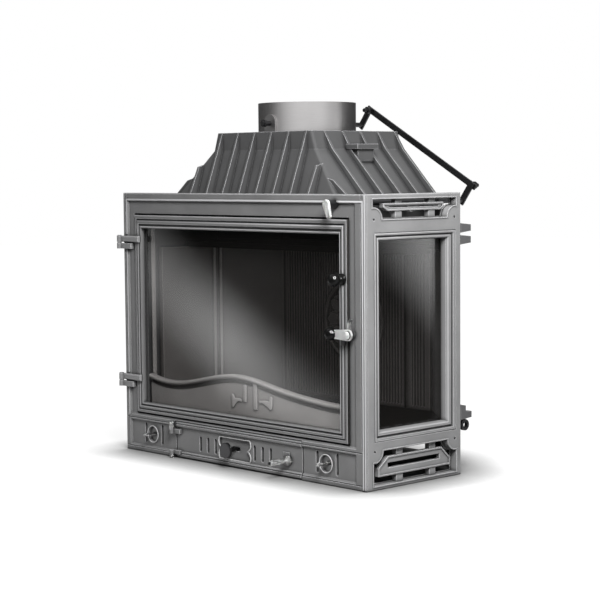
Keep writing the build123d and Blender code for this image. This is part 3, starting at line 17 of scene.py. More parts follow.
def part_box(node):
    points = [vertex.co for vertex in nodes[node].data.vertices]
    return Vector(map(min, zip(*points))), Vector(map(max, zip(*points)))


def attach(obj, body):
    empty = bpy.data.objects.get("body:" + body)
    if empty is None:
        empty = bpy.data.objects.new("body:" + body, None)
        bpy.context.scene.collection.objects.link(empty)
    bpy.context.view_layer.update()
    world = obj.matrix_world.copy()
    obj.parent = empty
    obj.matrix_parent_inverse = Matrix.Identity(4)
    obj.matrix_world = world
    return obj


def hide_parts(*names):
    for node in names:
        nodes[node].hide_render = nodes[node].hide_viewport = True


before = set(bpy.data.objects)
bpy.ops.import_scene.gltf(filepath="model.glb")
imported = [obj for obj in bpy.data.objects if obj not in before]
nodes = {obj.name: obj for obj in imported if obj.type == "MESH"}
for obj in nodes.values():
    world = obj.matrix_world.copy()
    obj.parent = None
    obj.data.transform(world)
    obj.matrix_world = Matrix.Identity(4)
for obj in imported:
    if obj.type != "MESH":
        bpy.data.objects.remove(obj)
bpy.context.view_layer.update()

# %% [markdown]
# ## Camera
#
# The straight edges of the front and side frames fix where the picture was
# taken from: about 46 degrees to the right of the front, a little above the
# middle, through a long lens. The camera is set from its three directions
# rather than from angles, so nothing is left to a rotation order.

# %% Camera
CAMERA_PLACE = Vector((2.50639, -2.40189, 0.59474))
CAMERA_AZIMUTH = math.radians(46.513)
CAMERA_DIP = math.radians(4.4195)
CAMERA_ROLL = math.radians(-0.4905)
LENS_MM = 101.118


def camera_axes(azimuth, dip, roll):
    """Right, up and forward directions of a camera that looks at the origin's side."""
    right = Vector((math.cos(azimuth), math.sin(azimuth), 0))
    forward = Vector((-math.sin(azimuth) * math.cos(dip), math.cos(azimuth) * math.cos(dip),
                      -math.sin(dip)))
    up = right.cross(forward)
    turned_right = math.cos(roll) * right + math.sin(roll) * up
    turned_up = -math.sin(roll) * right + math.cos(roll) * up
    return turned_right, turned_up, forward


right, up, forward = camera_axes(CAMERA_AZIMUTH, CAMERA_DIP, CAMERA_ROLL)
camera = bpy.data.objects.new("camera", bpy.data.cameras.new("camera"))
bpy.context.scene.collection.objects.link(camera)
camera.data.lens = LENS_MM
camera.matrix_world = Matrix.Translation(CAMERA_PLACE) @ Matrix(
    (right, up, -forward)).transposed().to_4x4()
bpy.context.scene.camera = camera
bpy.context.scene.view_settings.view_transform = "Standard"
print("camera looks along", [round(v, 3) for v in forward])

# %% [markdown]
# ## Building shader groups
#
# Several finishes share the same effects: the sandy grain of a casting, a
# painted highlight on edges and painted shade in the hollows. Each effect is made
# once as a node group with named inputs, and every material sets its own values.
# These helpers only save typing: one makes a group, one adds a node, one joins
# two sockets.


# %% Helpers for node groups
def new_group(name, inputs, outputs):
    """An empty shader group with its sockets, and its two end nodes."""
    group = bpy.data.node_groups.new(name, "ShaderNodeTree")
    for label, kind, value in inputs:
        socket = group.interface.new_socket(label, in_out="INPUT", socket_type=kind)
        socket.default_value = value
    for label, kind in outputs:
        group.interface.new_socket(label, in_out="OUTPUT", socket_type=kind)
    return group, group.nodes.new("NodeGroupInput"), group.nodes.new("NodeGroupOutput")


def add(tree, kind, values=(), **settings):
    """A node with its settings, and values for its input sockets by name or number."""
    node = tree.nodes.new(kind)
    for key, value in settings.items():
        setattr(node, key, value)
    for key, value in dict(values).items():
        node.inputs[key].default_value = value
    return node


def join(tree, source, target):
    """A link from an output socket to an input socket."""
    tree.links.new(source, target)


def maths(tree, operation, first, second=0.5, clamp=False):
    """A Math node fed by sockets or numbers. Gives its output socket."""
    node = add(tree, "ShaderNodeMath", operation=operation, use_clamp=clamp)
    for place, value in enumerate((first, second)):
        if isinstance(value, (int, float)):
            node.inputs[place].default_value = value
        else:
            join(tree, value, node.inputs[place])
    return node.outputs[0]


def blend(tree, mode, factor, first, second):
    """A colour Mix node fed by sockets or plain values. Gives its output socket."""
    node = add(tree, "ShaderNodeMix", data_type="RGBA", blend_type=mode)
    for place, value in ((0, factor), (6, first), (7, second)):
        if isinstance(value, (int, float, tuple)):
            node.inputs[place].default_value = value
        else:
            join(tree, value, node.inputs[place])
    return node.outputs[2]


FLOAT, VECTOR = "NodeSocketFloat", "NodeSocketVector"
print("node helpers ready")

# %% [markdown]
# ## Effect 1: ridges and hollows
#
# The sharp edges of a casting catch the light as thin bright lines, and its
# grooves lie in shade. Here both are painted into the colour: a painted highlight
# on the edges and painted shade in the grooves. A Bevel node gives the normal
# that a rounded edge would have. Where it differs from the flat normal there is
# an edge. The Ambient Occlusion node then tells an outer edge, which is open to
# the air, from an inner corner.


# %% Ridges and hollows
def ridges_and_hollows():
    """The group with a mask for outer edges, a mask for inner corners and a round normal."""
    group, source, result = new_group(
        "ridges and hollows",
        [("Radius", FLOAT, 0.0008), ("Reach", FLOAT, 0.006), ("Sharpness", FLOAT, 10.0)],
        [("Ridge", FLOAT), ("Hollow", FLOAT), ("Normal", VECTOR)])
    bevel = add(group, "ShaderNodeBevel", samples=6)
    join(group, source.outputs["Radius"], bevel.inputs["Radius"])
    flat = add(group, "ShaderNodeNewGeometry")
    dot = add(group, "ShaderNodeVectorMath", operation="DOT_PRODUCT")
    join(group, bevel.outputs["Normal"], dot.inputs[0])
    join(group, flat.outputs["Normal"], dot.inputs[1])
    turn = maths(group, "SUBTRACT", 1.0, dot.outputs["Value"], clamp=True)
    edge = maths(group, "MULTIPLY", turn, source.outputs["Sharpness"], clamp=True)
    open_air = add(group, "ShaderNodeAmbientOcclusion", samples=8)
    join(group, source.outputs["Reach"], open_air.inputs["Distance"])
    bare = maths(group, "POWER", open_air.outputs["AO"], 1.6)
    join(group, maths(group, "MULTIPLY", edge, bare), result.inputs["Ridge"])
    covered = maths(group, "SUBTRACT", 1.0, open_air.outputs["AO"], clamp=True)
    join(group, maths(group, "MULTIPLY", covered, 1.7, clamp=True), result.inputs["Hollow"])
    join(group, bevel.outputs["Normal"], result.inputs["Normal"])
    return group


RIDGES = ridges_and_hollows()
print("group:", RIDGES.name)

# %% [markdown]
# ## Effect 2: cast grain
#
# Iron poured in sand keeps the sand's grain, under a millimetre across, and
# the paint over it never lies quite evenly. A fine noise gives the height of
# the grain and a slow one, hand-sized, gives a patchy tone. Both read Object
# coordinates, which are metres here, so the scales are real sizes.


# %% Cast grain
def cast_grain():
    """The group with the sand grain's height and a slow patchy tone."""
    group, source, result = new_group(
        "cast grain",
        [("Grain per metre", FLOAT, 900.0), ("Patches per metre", FLOAT, 14.0)],
        [("Height", FLOAT), ("Patch", FLOAT)])
    place = add(group, "ShaderNodeTexCoord")
    for label, output, detail, roughness in (("Grain per metre", "Height", 2.0, 0.6),
                                             ("Patches per metre", "Patch", 4.0, 0.55)):
        noise = add(group, "ShaderNodeTexNoise", {"Detail": detail, "Roughness": roughness})
        join(group, place.outputs["Object"], noise.inputs["Vector"])
        join(group, source.outputs[label], noise.inputs["Scale"])
        join(group, noise.outputs["Fac"], result.inputs[output])
    return group


GRAIN = cast_grain()
print("group:", GRAIN.name)

# %% [markdown]
# ## Effect 3: brushed lines
#
# Turned or brushed steel has fine scratches in one direction. Stretching the
# coordinates before a noise draws the noise out into lines.


# %% Brushed lines
def brushed_lines():
    """The group with a noise drawn out into lines, as a height and as a tone."""
    group, source, result = new_group(
        "brushed lines", [("Stretch", VECTOR, (40.0, 40.0, 1500.0))],
        [("Height", FLOAT), ("Tone", FLOAT)])
    place = add(group, "ShaderNodeTexCoord")
    stretch = add(group, "ShaderNodeVectorMath", operation="MULTIPLY")
    join(group, place.outputs["Object"], stretch.inputs[0])
    join(group, source.outputs["Stretch"], stretch.inputs[1])
    noise = add(group, "ShaderNodeTexNoise", {"Scale": 1.0, "Detail": 3.0, "Roughness": 0.65})
    join(group, stretch.outputs["Vector"], noise.inputs["Vector"])
    join(group, noise.outputs["Fac"], result.inputs["Height"])
    join(group, noise.outputs["Fac"], result.inputs["Tone"])
    return group


BRUSH = brushed_lines()
print("group:", BRUSH.name)

# %% [markdown]
# ## From effects to materials
#
# Every finish is one Principled shader. What is constant, such as how metallic
# it is, is set straight on its own sockets. What varies over the surface comes
# from the groups. These helpers make the shader, place a group in it with the
# material's own values, and join a height to its bump.


# %% Material helpers
def new_material(name, **constants):
    """A material with one Principled shader, its constant values set on its own sockets."""
    material = bpy.data.materials.new(name)
    material.use_nodes = True
    shader = material.node_tree.nodes["Principled BSDF"]
    for key, value in constants.items():
        shader.inputs[key.replace("_", " ")].default_value = value
    return material, material.node_tree, shader


def use_group(tree, group, **values):
    """One of the effect groups placed in a material, with its own values."""
    node = tree.nodes.new("ShaderNodeGroup")
    node.node_tree = group
    for key, value in values.items():
        node.inputs[key.replace("_", " ")].default_value = value
    return node


def bump(tree, shader, height, distance, strength, normal=None):
    """A Bump node of a real depth in metres, on top of another normal if there is one."""
    node = add(tree, "ShaderNodeBump", {"Distance": distance, "Strength": strength})
    join(tree, height, node.inputs["Height"])
    if normal is not None:
        join(tree, normal, node.inputs["Normal"])
    join(tree, node.outputs["Normal"], shader.inputs["Normal"])


def rgba(colour):
    """A colour of three shares with full alpha."""
    return (*colour, 1.0)


print("material helpers ready")

# %% [markdown]
# ## Cast iron
#
# Every casting has the same paint, but the parts of this insert look different.
# The front frame is given a darker colour and the side a paler one: painted
# shade on the front and painted light on the side, for how light falls on them.
# The linings are warm and matt. One function makes them all. The colour moves a
# little with the patches, is painted brighter on ridges, a painted highlight,
# and painted darker in hollows, a painted shade. The finer pieces add two marks
# of their own at the points of their meshes: a painted highlight on a crest and
# a painted shadow in a channel under a rail. The solids have no such marks, and
# there an Attribute node gives 0. The foot of the hood is painted black below
# the top of the front frame, a painted shade where the frame keeps light off it.


# %% Cast iron
def cast_iron(name, colour, ridge_colour, roughness=0.5, metal=0.12, grain=0.00012,
              grain_size=900.0, hollow=0.9, ridge=0.9, radius=0.0020, reach=0.008, gloss=0.5,
              painted_shade_below=None):
    """Painted cast iron. Below the height given last, if any, it is painted black:
    painted shade.

    grain is the depth of the sand grain in metres, and radius and reach are how wide
    the painted highlights on ridges are and how far a hollow's painted shade
    reaches, also in metres."""
    material, tree, shader = new_material(name, Metallic=metal, Specular_IOR_Level=gloss)
    edges = use_group(tree, RIDGES, Radius=radius, Reach=reach)
    sand = use_group(tree, GRAIN, Grain_per_metre=grain_size)
    patch = maths(tree, "MULTIPLY_ADD", sand.outputs["Patch"], 0.5)
    patch.node.inputs[2].default_value = 0.75
    # Below the given height the colour is painted black: painted shade.
    if painted_shade_below is not None:
        place = add(tree, "ShaderNodeTexCoord")
        split = add(tree, "ShaderNodeSeparateXYZ")
        join(tree, place.outputs["Object"], split.inputs["Vector"])
        fade = add(tree, "ShaderNodeMapRange", {"From Min": painted_shade_below - 0.006,
                                                "From Max": painted_shade_below, "To Min": 0.1})
        join(tree, split.outputs["Z"], fade.inputs["Value"])
        patch = maths(tree, "MULTIPLY", patch, fade.outputs["Result"])
    tone = blend(tree, "MULTIPLY", 1.0, rgba(colour), patch)
    # Ridges and the highlight mark blend towards the pale colour: a painted highlight.
    highlight_mark = add(tree, "ShaderNodeAttribute", attribute_name="rubbed")
    rubbed = maths(tree, "MAXIMUM", edges.outputs["Ridge"], highlight_mark.outputs["Fac"])
    highlighted = blend(tree, "MIX", maths(tree, "MULTIPLY", rubbed, ridge), tone, rgba(ridge_colour))
    # Hollows and the shadow mark blend towards a dark colour: painted shade.
    soot_and_shade = add(tree, "ShaderNodeAttribute", attribute_name="sooted")
    shade_mask = maths(tree, "MAXIMUM", edges.outputs["Hollow"], soot_and_shade.outputs["Fac"])
    shade_painted = blend(tree, "MIX", maths(tree, "MULTIPLY", shade_mask, hollow), highlighted,
                 rgba([c * 0.15 for c in colour]))
    join(tree, shade_painted, shader.inputs["Base Color"])
    rough = maths(tree, "MULTIPLY_ADD", sand.outputs["Height"], 0.2)
    rough.node.inputs[2].default_value = roughness - 0.1
    join(tree, rough, shader.inputs["Roughness"])
    bump(tree, shader, sand.outputs["Height"], grain, 0.6, edges.outputs["Normal"])
    return material


# The front iron is painted darker and the side iron paler: painted shade and painted light for
# how light falls on the two faces.
shaded_front_iron = cast_iron("front iron", (0.175, 0.175, 0.176), (0.60, 0.60, 0.61))
door_iron = cast_iron("door iron", (0.155, 0.155, 0.156), (0.55, 0.55, 0.56))
lit_side_iron = cast_iron("side iron", (0.235, 0.235, 0.237), (0.60, 0.60, 0.61), roughness=0.45)
# This pale iron of the thin rims is a painted highlight.
highlighted_iron = cast_iron("worn iron", (0.50, 0.50, 0.502), (0.75, 0.75, 0.76), roughness=0.4)
# The hood iron is painted black below the top of the front frame: painted shade.
hood_iron = cast_iron("hood iron", (0.072, 0.072, 0.073), (0.42, 0.42, 0.43), roughness=0.5,
                      grain=0.0002, painted_shade_below=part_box("front_frame")[1][2])
shell_iron = cast_iron("shell iron", (0.10, 0.10, 0.102), (0.28, 0.28, 0.28), roughness=0.6)
lining_iron = cast_iron("lining iron", (0.13, 0.122, 0.118), (0.34, 0.32, 0.31),
                        roughness=0.62, metal=0.05, grain=0.0002, gloss=0.2)
# The strip iron is paler than the lining: a painted highlight along the strips.
highlighted_strip_iron = cast_iron("strip iron", (0.34, 0.325, 0.315), (0.6, 0.58, 0.56), roughness=0.6,
                       metal=0.05)
guard_iron = cast_iron("guard iron", (0.40, 0.385, 0.375), (0.75, 0.73, 0.71), roughness=0.6,
                       metal=0.05)
relief_iron = cast_iron("relief iron", (0.62, 0.60, 0.59), (0.8, 0.78, 0.76), roughness=0.5,
                        metal=0.05)
# This black is the soot of the firebox, and also the painted shadow beside the door.
soot_and_shade_iron = cast_iron("soot iron", (0.016, 0.015, 0.014), (0.05, 0.048, 0.045), roughness=0.8,
                      metal=0.0, gloss=0.0)
print("cast finishes ready")

# %% [markdown]
# ## Steel
#
# The collar is turned steel with lines running round it. The damper linkage is
# dark rolled bar. The latch bar and the lever are bright, and the pegs and the
# ash handle satin. A full metal shows only what it mirrors, which is white
# here, so the bright and satin steels are about half metal: the other half
# keeps the grey of worn plating.


# %% Steel
def steel(name, colour, roughness, stretch=(40.0, 40.0, 1500.0), depth=0.00002, streak=0.25,
          metal=1.0):
    """Brushed steel. stretch says how finely its lines lie along x, y and z."""
    material, tree, shader = new_material(name, Metallic=metal)
    lines = use_group(tree, BRUSH, Stretch=stretch)
    edges = use_group(tree, RIDGES, Radius=0.0005, Reach=0.004)
    tone = maths(tree, "MULTIPLY_ADD", lines.outputs["Tone"], streak)
    tone.node.inputs[2].default_value = 1 - streak / 2
    brushed = blend(tree, "MULTIPLY", 1.0, rgba(colour), tone)
    # Outer edges blend towards a paler colour: a painted highlight.
    lit = blend(tree, "MIX", maths(tree, "MULTIPLY", edges.outputs["Ridge"], 0.6), brushed,
                rgba([min(1.0, c * 1.5) for c in colour]))
    join(tree, lit, shader.inputs["Base Color"])
    rough = maths(tree, "MULTIPLY_ADD", lines.outputs["Tone"], 0.16)
    rough.node.inputs[2].default_value = roughness - 0.08
    join(tree, rough, shader.inputs["Roughness"])
    bump(tree, shader, lines.outputs["Height"], depth, 0.5, edges.outputs["Normal"])
    return material


collar_steel = steel("collar steel", (0.50, 0.49, 0.49), 0.36)
linkage_steel = steel("linkage steel", (0.085, 0.085, 0.088), 0.5, (60.0, 60.0, 60.0))
bright_steel = steel("bright steel", (0.72, 0.72, 0.72), 0.34, (90.0, 90.0, 90.0), 0.000005, 0.08,
                     metal=0.5)
satin_steel = steel("satin steel", (0.34, 0.34, 0.34), 0.34, (300.0, 60.0, 300.0), 0.00001,
                    metal=0.55)
plate_steel = steel("plate steel", (0.12, 0.12, 0.12), 0.55, (50.0, 50.0, 50.0))
print("steel finishes ready")

# %% [markdown]
# ## Gloss black balls, glass and rope
#
# The knobs are polished black plastic. The panes are thin ceramic glass, hazy
# with smoke. A dark glossy surface that is mostly see-through, by a low Alpha,
# gives this simply: what stands behind shows through a thin veil, and the veil
# is a little denser in patches. Alpha weakens the reflections too, so a high
# refractive index makes up for it. The rope seal is woven glass yarn.


# %% Balls, glass and rope
def gloss_black():
    """Moulded plastic of an even black, with hardly a speckle in its gloss."""
    material, tree, shader = new_material("gloss black", Specular_IOR_Level=0.12)
    speckle = use_group(tree, GRAIN, Grain_per_metre=400.0)
    tone = blend(tree, "MIX", speckle.outputs["Patch"], (0.003, 0.003, 0.003, 1.0),
                 (0.007, 0.007, 0.007, 1.0))
    join(tree, tone, shader.inputs["Base Color"])
    rough = maths(tree, "MULTIPLY_ADD", speckle.outputs["Height"], 0.06)
    rough.node.inputs[2].default_value = 0.08
    join(tree, rough, shader.inputs["Roughness"])
    return material


def tinted_glass():
    """A dark veil, about a quarter opaque, with patches of haze."""
    material, tree, shader = new_material("tinted glass", Roughness=0.02, IOR=2.0)
    haze = use_group(tree, GRAIN, Grain_per_metre=60.0, Patches_per_metre=6.0)
    tone = blend(tree, "MIX", haze.outputs["Patch"], (0.004, 0.004, 0.004, 1.0),
                 (0.012, 0.011, 0.010, 1.0))
    join(tree, tone, shader.inputs["Base Color"])
    veil = maths(tree, "MULTIPLY_ADD", haze.outputs["Patch"], 0.08)
    veil.node.inputs[2].default_value = 0.26
    join(tree, veil, shader.inputs["Alpha"])
    return material


def woven_rope():
    """Matt grey yarn with a coarse bump."""
    material, tree, shader = new_material("woven rope", Roughness=0.95)
    weave = use_group(tree, GRAIN, Grain_per_metre=700.0)
    tone = blend(tree, "MIX", weave.outputs["Height"], (0.05, 0.05, 0.05, 1.0),
                 (0.16, 0.155, 0.15, 1.0))
    join(tree, tone, shader.inputs["Base Color"])
    bump(tree, shader, weave.outputs["Height"], 0.0005, 0.8)
    return material


black_gloss = gloss_black()
glass = tinted_glass()
rope = woven_rope()
print("ball, glass and rope finishes ready")

# %% [markdown]
# ## Finishes for the solids
#
# A solid whose shape is already right only needs a better finish, which goes in
# its object's material slots. The table lists each finish with its pieces.

# %% Give each solid its finish
FINISHES = {
    shaded_front_iron: ("front_frame", "ash_door", "ash_handle_plate"),
    door_iron: ("door_frame", "latch_plate"),
    lit_side_iron: ("side_frame", "side_window_frame", "upper_grille", "lower_grille",
                "frame_hinge_lugs", "door_hinge_arms"),
    hood_iron: ("hood", "hood_pocket"),
    shell_iron: ("base_plate", "left_wall", "left_rear_wall", "rear_wall", "right_rear_wall",
                 "floor_bearers", "side_rear_lugs"),
    lining_iron: ("left_lining", "left_rear_lining", "rear_lining", "rear_lining_right",
                  "right_rear_lining"),
    guard_iron: ("log_guard",),
    soot_and_shade_iron: ("baffle_plate", "firebox_floor", "grate", "top_plate"),
    collar_steel: ("flue_collar",),
    linkage_steel: ("shaft_bush", "side_screws", "lug_eye", "shaft_bracket", "air_slide",
                    "control_shaft", "control_crank", "link_rod", "damper_shaft",
                    "damper_crank"),
    bright_steel: ("latch_bolt", "latch_lever", "control_lever"),
    satin_steel: ("ash_handle", "ash_hinge_lugs", "left_air_slide", "right_air_slide"),
    plate_steel: ("side_glass_clips", "door_glass_clips", "ash_housing", "ash_pan",
                  "panel_slide_rails", "air_slide_rails", "damper_disc"),
    black_gloss: ("door_knob",),
    glass: ("door_glass", "side_glass"),
    rope: ("door_seal", "side_seal"),
}
for finish, names in FINISHES.items():
    for name in names:
        nodes[name].data.materials.clear()
        nodes[name].data.materials.append(finish)
missing = set(nodes) - {name for names in FINISHES.values() for name in names}
print("solids without a finish:", sorted(missing))

# %% [markdown]
# ## Tools for finer pieces
#
# The solids block out a few pieces that a founder or turner would shape with
# more care: mouldings, knobs, levers and ropes. Each is drawn where it belongs,
# so its object stays at the origin. The first tool turns raw points and faces
# into a sound mesh: doubles merged, faces outward, creases kept sharp. The
# second hangs the mesh on the body that carries it, and hides the solids that
# it stands for.

# %% From points to a piece in its place
MM = 0.001
SHARP = math.radians(38)
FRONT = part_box("front_frame")[0][1]


def finished_mesh(name, points, faces, finish, smooth=True, rubbed=None, sooted=None):
    """A closed mesh with its faces outward and creases kept where it turns sharply.

    The two marks give each point how much painted highlight and how much painted
    shadow it carries, both from 0 to 1."""
    mesh = bpy.data.meshes.new(name)
    mesh.from_pydata([tuple(point) for point in points], [], faces)
    for mark, values in (("rubbed", rubbed), ("sooted", sooted)):
        if values:
            mesh.attributes.new(mark, "FLOAT", "POINT").data.foreach_set("value", values)
    shape = bmesh.new()
    shape.from_mesh(mesh)
    bmesh.ops.remove_doubles(shape, verts=shape.verts, dist=1e-6)
    bmesh.ops.recalc_face_normals(shape, faces=shape.faces)
    shape.to_mesh(mesh)
    shape.free()
    mesh.materials.append(finish)
    if smooth:
        mesh.shade_smooth()
        mesh.set_sharp_from_angle(angle=SHARP)
    return mesh


def set_in_place(name, mesh, body, replaced=()):
    """Links a finished mesh, hangs it on its body and hides the solids it stands for."""
    piece = bpy.data.objects.new(name.replace(" ", "_"), mesh)
    bpy.context.scene.collection.objects.link(piece)
    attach(piece, body)
    if replaced:
        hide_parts(*replaced)
    return piece


def corners(node):
    """The low and high corners of a solid's box."""
    low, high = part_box(node)
    return Vector(low), Vector(high)


def centre(node):
    """The middle of a solid's box."""
    low, high = corners(node)
    return (low + high) / 2


print("the front stands at y =", round(FRONT, 4), "m")

# %% [markdown]
# ## Mouldings of the door and the side window
#
# Both frames are castings with a moulded face: an outer lip, a groove, a round
# ridge and a hollow that runs down to the glass. In a photograph these read as
# thin bright and dark lines side by side. A mitred run keeps each line sharp
# into the corners, also where the rails and stiles differ in width, because
# each step lies at its own share of the way from the outside to the glass.


# %% A mitred moulding
def moulding_mesh(name, outer, inner, profile, place, finish):
    """A closed moulding between two rectangles (low u, low v, high u, high v).

    The profile is (share of the way in, height in mm, painted highlight) round the
    section, and place(u, v, height) turns it into points."""
    points, faces, rubbed = [], [], []
    for share, height, highlight_share in profile:
        u0, v0, u1, v1 = (a + (b - a) * share for a, b in zip(outer, inner))
        points += [place(u, v, height * MM) for u, v in ((u0, v0), (u1, v0), (u1, v1), (u0, v1))]
        rubbed += [highlight_share] * 4
    count = len(profile)
    for ring in range(count):
        after = (ring + 1) % count
        for side in range(4):
            turn = (side + 1) % 4
            faces.append([4 * ring + side, 4 * ring + turn, 4 * after + turn, 4 * after + side])
    return finished_mesh(name, points, faces, finish, rubbed=rubbed)


print("moulding tool ready")

# %% [markdown]
# ## The two sections
#
# Each section is a list of steps from the outer rim to the glass: the share of
# the way in, the height in millimetres, and how much painted highlight the crest
# carries. The pane laps 9 mm behind the casting all round, so the opening is the
# pane's box less that lap.

# %% Door and window mouldings
GLASS_LAP = 9 * MM


def window_in_glass(node, first, second):
    """The opening that a pane closes, as (low u, low v, high u, high v)."""
    low, high = corners(node)
    return (low[first] + GLASS_LAP, low[second] + GLASS_LAP,
            high[first] - GLASS_LAP, high[second] - GLASS_LAP)


door_low, door_high = corners("door_frame")


def on_door(u, v, height):
    """A point at a height in front of the door frame's back."""
    return Vector((u, door_high.y - height, v))


DOOR_SECTION = [(0, 0, 0), (0, 10.2, 0), (0.03, 10.9, 0.7), (0.08, 11.0, 0.1),
                (0.22, 11.0, 0), (0.27, 10.6, 0.5), (0.30, 7.4, 0), (0.37, 7.4, 0),
                (0.40, 10.6, 0.1), (0.44, 11.6, 0.7), (0.50, 12.0, 0.1), (0.58, 12.0, 0),
                (0.63, 11.6, 0.5), (0.67, 10.2, 0), (0.70, 6.8, 0), (0.79, 6.8, 0),
                (0.82, 9.4, 0), (0.86, 10.2, 0.9), (0.91, 10.0, 0.3), (0.97, 9.2, 0),
                (1, 8.0, 0), (1, 0, 0)]
DOOR_MARGIN = 1.4 * MM
door_mesh = moulding_mesh(
    "door moulding", (door_low.x + DOOR_MARGIN, door_low.z + DOOR_MARGIN,
                      door_high.x - DOOR_MARGIN, door_high.z - DOOR_MARGIN),
    window_in_glass("door_glass", 0, 2), DOOR_SECTION, on_door, door_iron)
set_in_place("door moulding", door_mesh, "front_door", ("door_frame",))

side_low, side_high = corners("side_window_frame")
FLANGE = 6 * MM


def on_side_window(u, v, height):
    """A point at a height outwards from the inner face of the side window's frame."""
    return Vector((side_low.x + height, u, v))


WINDOW_SECTION = [(0, 0, 0), (0, 17.6, 0), (0.04, 18.8, 0.1), (0.09, 19.2, 0.9),
                  (0.14, 19.2, 0), (0.30, 18.8, 0), (0.35, 17.6, 0.1), (0.38, 13.4, 0),
                  (0.48, 13.4, 0), (0.52, 16.4, 0), (0.58, 17.8, 0.1), (0.64, 18.2, 0.5),
                  (0.70, 18.2, 0), (0.84, 17.8, 0), (0.90, 16.6, 0.5), (0.93, 14.6, 0),
                  (1, 12.6, 0), (1, 0, 0)]
window_mesh = moulding_mesh(
    "window moulding",
    (side_low.y + FLANGE, side_low.z + FLANGE, side_high.y - FLANGE, side_high.z - FLANGE),
    window_in_glass("side_glass", 1, 2), WINDOW_SECTION, on_side_window, lit_side_iron)
set_in_place("window moulding", window_mesh, "insert_body",
             ("side_window_frame",))
print("mouldings:", len(door_mesh.polygons) + len(window_mesh.polygons), "faces")

# %% [markdown]
# ## Beads of the front border
#
# The border of the front frame carries a thin round bead along its left, top
# and right sides, and a second one beside the side frame, where the two castings
# meet. The left bead stops short at each hinge, because the hinge lugs were cast
# across it.


# %% A bead along a line
def bead_run_mesh(name, path, half, rise, finish, steps=8):
    """A half-round bead on the front along a path of (x, z) points, mitred at its turns.

    It stands out by rise from the plane y = FRONT and carries a painted highlight on
    its crest."""
    points, faces, rubbed = [], [], []
    for index, here in enumerate(path):
        before = (here - path[index - 1]).normalized() if index else None
        after = (path[index + 1] - here).normalized() if index + 1 < len(path) else None
        first, second = before or after, after or before
        sides = [Vector((-way.y, way.x)) for way in (first, second)]
        mitre = (sides[0] + sides[1]) / (1 + sides[0].dot(sides[1]))
        for step in range(steps + 1):
            angle = math.pi * step / steps
            spot = here - mitre * half * math.cos(angle)
            points.append(Vector((spot.x, FRONT - rise * math.sin(angle), spot.y)))
            # The crest carries a painted highlight.
            rubbed.append(max(0.0, math.sin(angle)) ** 2)
        for share in (1, -1):
            spot = here + mitre * half * share
            points.append(Vector((spot.x, FRONT + 0.8 * MM, spot.y)))
            rubbed.append(0.0)
    ring = steps + 3
    for index in range(len(path) - 1):
        for step in range(ring):
            after = (step + 1) % ring
            faces.append([index * ring + step, index * ring + after,
                          (index + 1) * ring + after, (index + 1) * ring + step])
    faces += [list(range(ring)), list(range((len(path) - 1) * ring, len(path) * ring))]
    return finished_mesh(name, points, faces, finish, rubbed=rubbed)


print("bead tool ready")

# %% Border beads
frame_low, frame_high = corners("front_frame")
BEAD_LEFT = frame_low.x + 12.2 * MM
BEAD_TOP = frame_high.z - 14.0 * MM
BEAD_RIGHT = frame_high.x - 8.0 * MM
BEAD_CORNER = frame_high.x - 2.6 * MM
BEAD_FOOT = 76 * MM
BEAD_HALF, CORNER_BEAD_HALF, BEAD_RISE = 2.4 * MM, 2.0 * MM, 1.3 * MM
HINGE_GAP = 2 * MM
HINGE_HEIGHT = 30 * MM
BORDER_FOOT = 2 * MM
lug_low, lug_high = corners("frame_hinge_lugs")
lower_hinge = (lug_low.z - HINGE_GAP, lug_low.z + HINGE_HEIGHT)
upper_hinge = (lug_high.z - HINGE_HEIGHT, lug_high.z + HINGE_GAP)
runs = {
    "lower left bead": [(BEAD_LEFT, BEAD_FOOT), (BEAD_LEFT, lower_hinge[0])],
    "middle left bead": [(BEAD_LEFT, lower_hinge[1]), (BEAD_LEFT, upper_hinge[0])],
    "upper bead": [(BEAD_LEFT, upper_hinge[1]), (BEAD_LEFT, BEAD_TOP), (BEAD_RIGHT, BEAD_TOP),
                   (BEAD_RIGHT, BORDER_FOOT)],
    "corner bead": [(BEAD_CORNER, BORDER_FOOT), (BEAD_CORNER, frame_high.z - BORDER_FOOT)],
}
for name, path in runs.items():
    half = CORNER_BEAD_HALF if name == "corner bead" else BEAD_HALF
    bead = bead_run_mesh(name, [Vector(spot) for spot in path], half, BEAD_RISE, shaded_front_iron)
    set_in_place(name, bead, "insert_body")
print("beads:", len(runs))

# %% [markdown]
# ## Ball knobs
#
# Knobs were turned on a lathe, or moulded in a turned die, so a profile spun
# round an axis gives them exactly. A profile is a list of places along the axis
# and radii, both in millimetres. The door knob and the latch ball are black
# plastic on a short neck.


# %% A turned piece
def turned_mesh(name, start, axis, profile, finish, steps=48):
    """A solid of revolution. The profile is (along, radius) pairs in mm from start."""
    axis = Vector(axis).normalized()
    across = axis.orthogonal().normalized()
    third = axis.cross(across)
    points, rings, faces = [], [], []
    for along, radius in profile:
        here = Vector(start) + axis * along * MM
        count = steps if radius > 0 else 1
        rings.append(range(len(points), len(points) + count))
        for index in range(count):
            angle = 2 * math.pi * index / count
            points.append(here + (across * math.cos(angle) + third * math.sin(angle))
                          * radius * MM)
    for first, second in zip(rings, rings[1:]):
        for index in range(steps):
            after = (index + 1) % steps
            quad = [first[index % len(first)], first[after % len(first)],
                    second[after % len(second)], second[index % len(second)]]
            face = list(dict.fromkeys(quad))
            if len(face) > 2:
                faces.append(face)
    for ring in (rings[0], rings[-1]):
        if len(ring) > 1:
            faces.append(list(ring))
    return finished_mesh(name, points, faces, finish)


def ball_profile(along, radius, neck, parts=14):
    """A ball's (along, radius) pairs, from a neck of some radius round to its far pole."""
    start = math.pi - math.asin(neck / radius)
    return [(along + radius * math.cos(start * (1 - part / parts)),
             radius * math.sin(start * (1 - part / parts))) for part in range(parts)] + [
                 (along + radius, 0)]


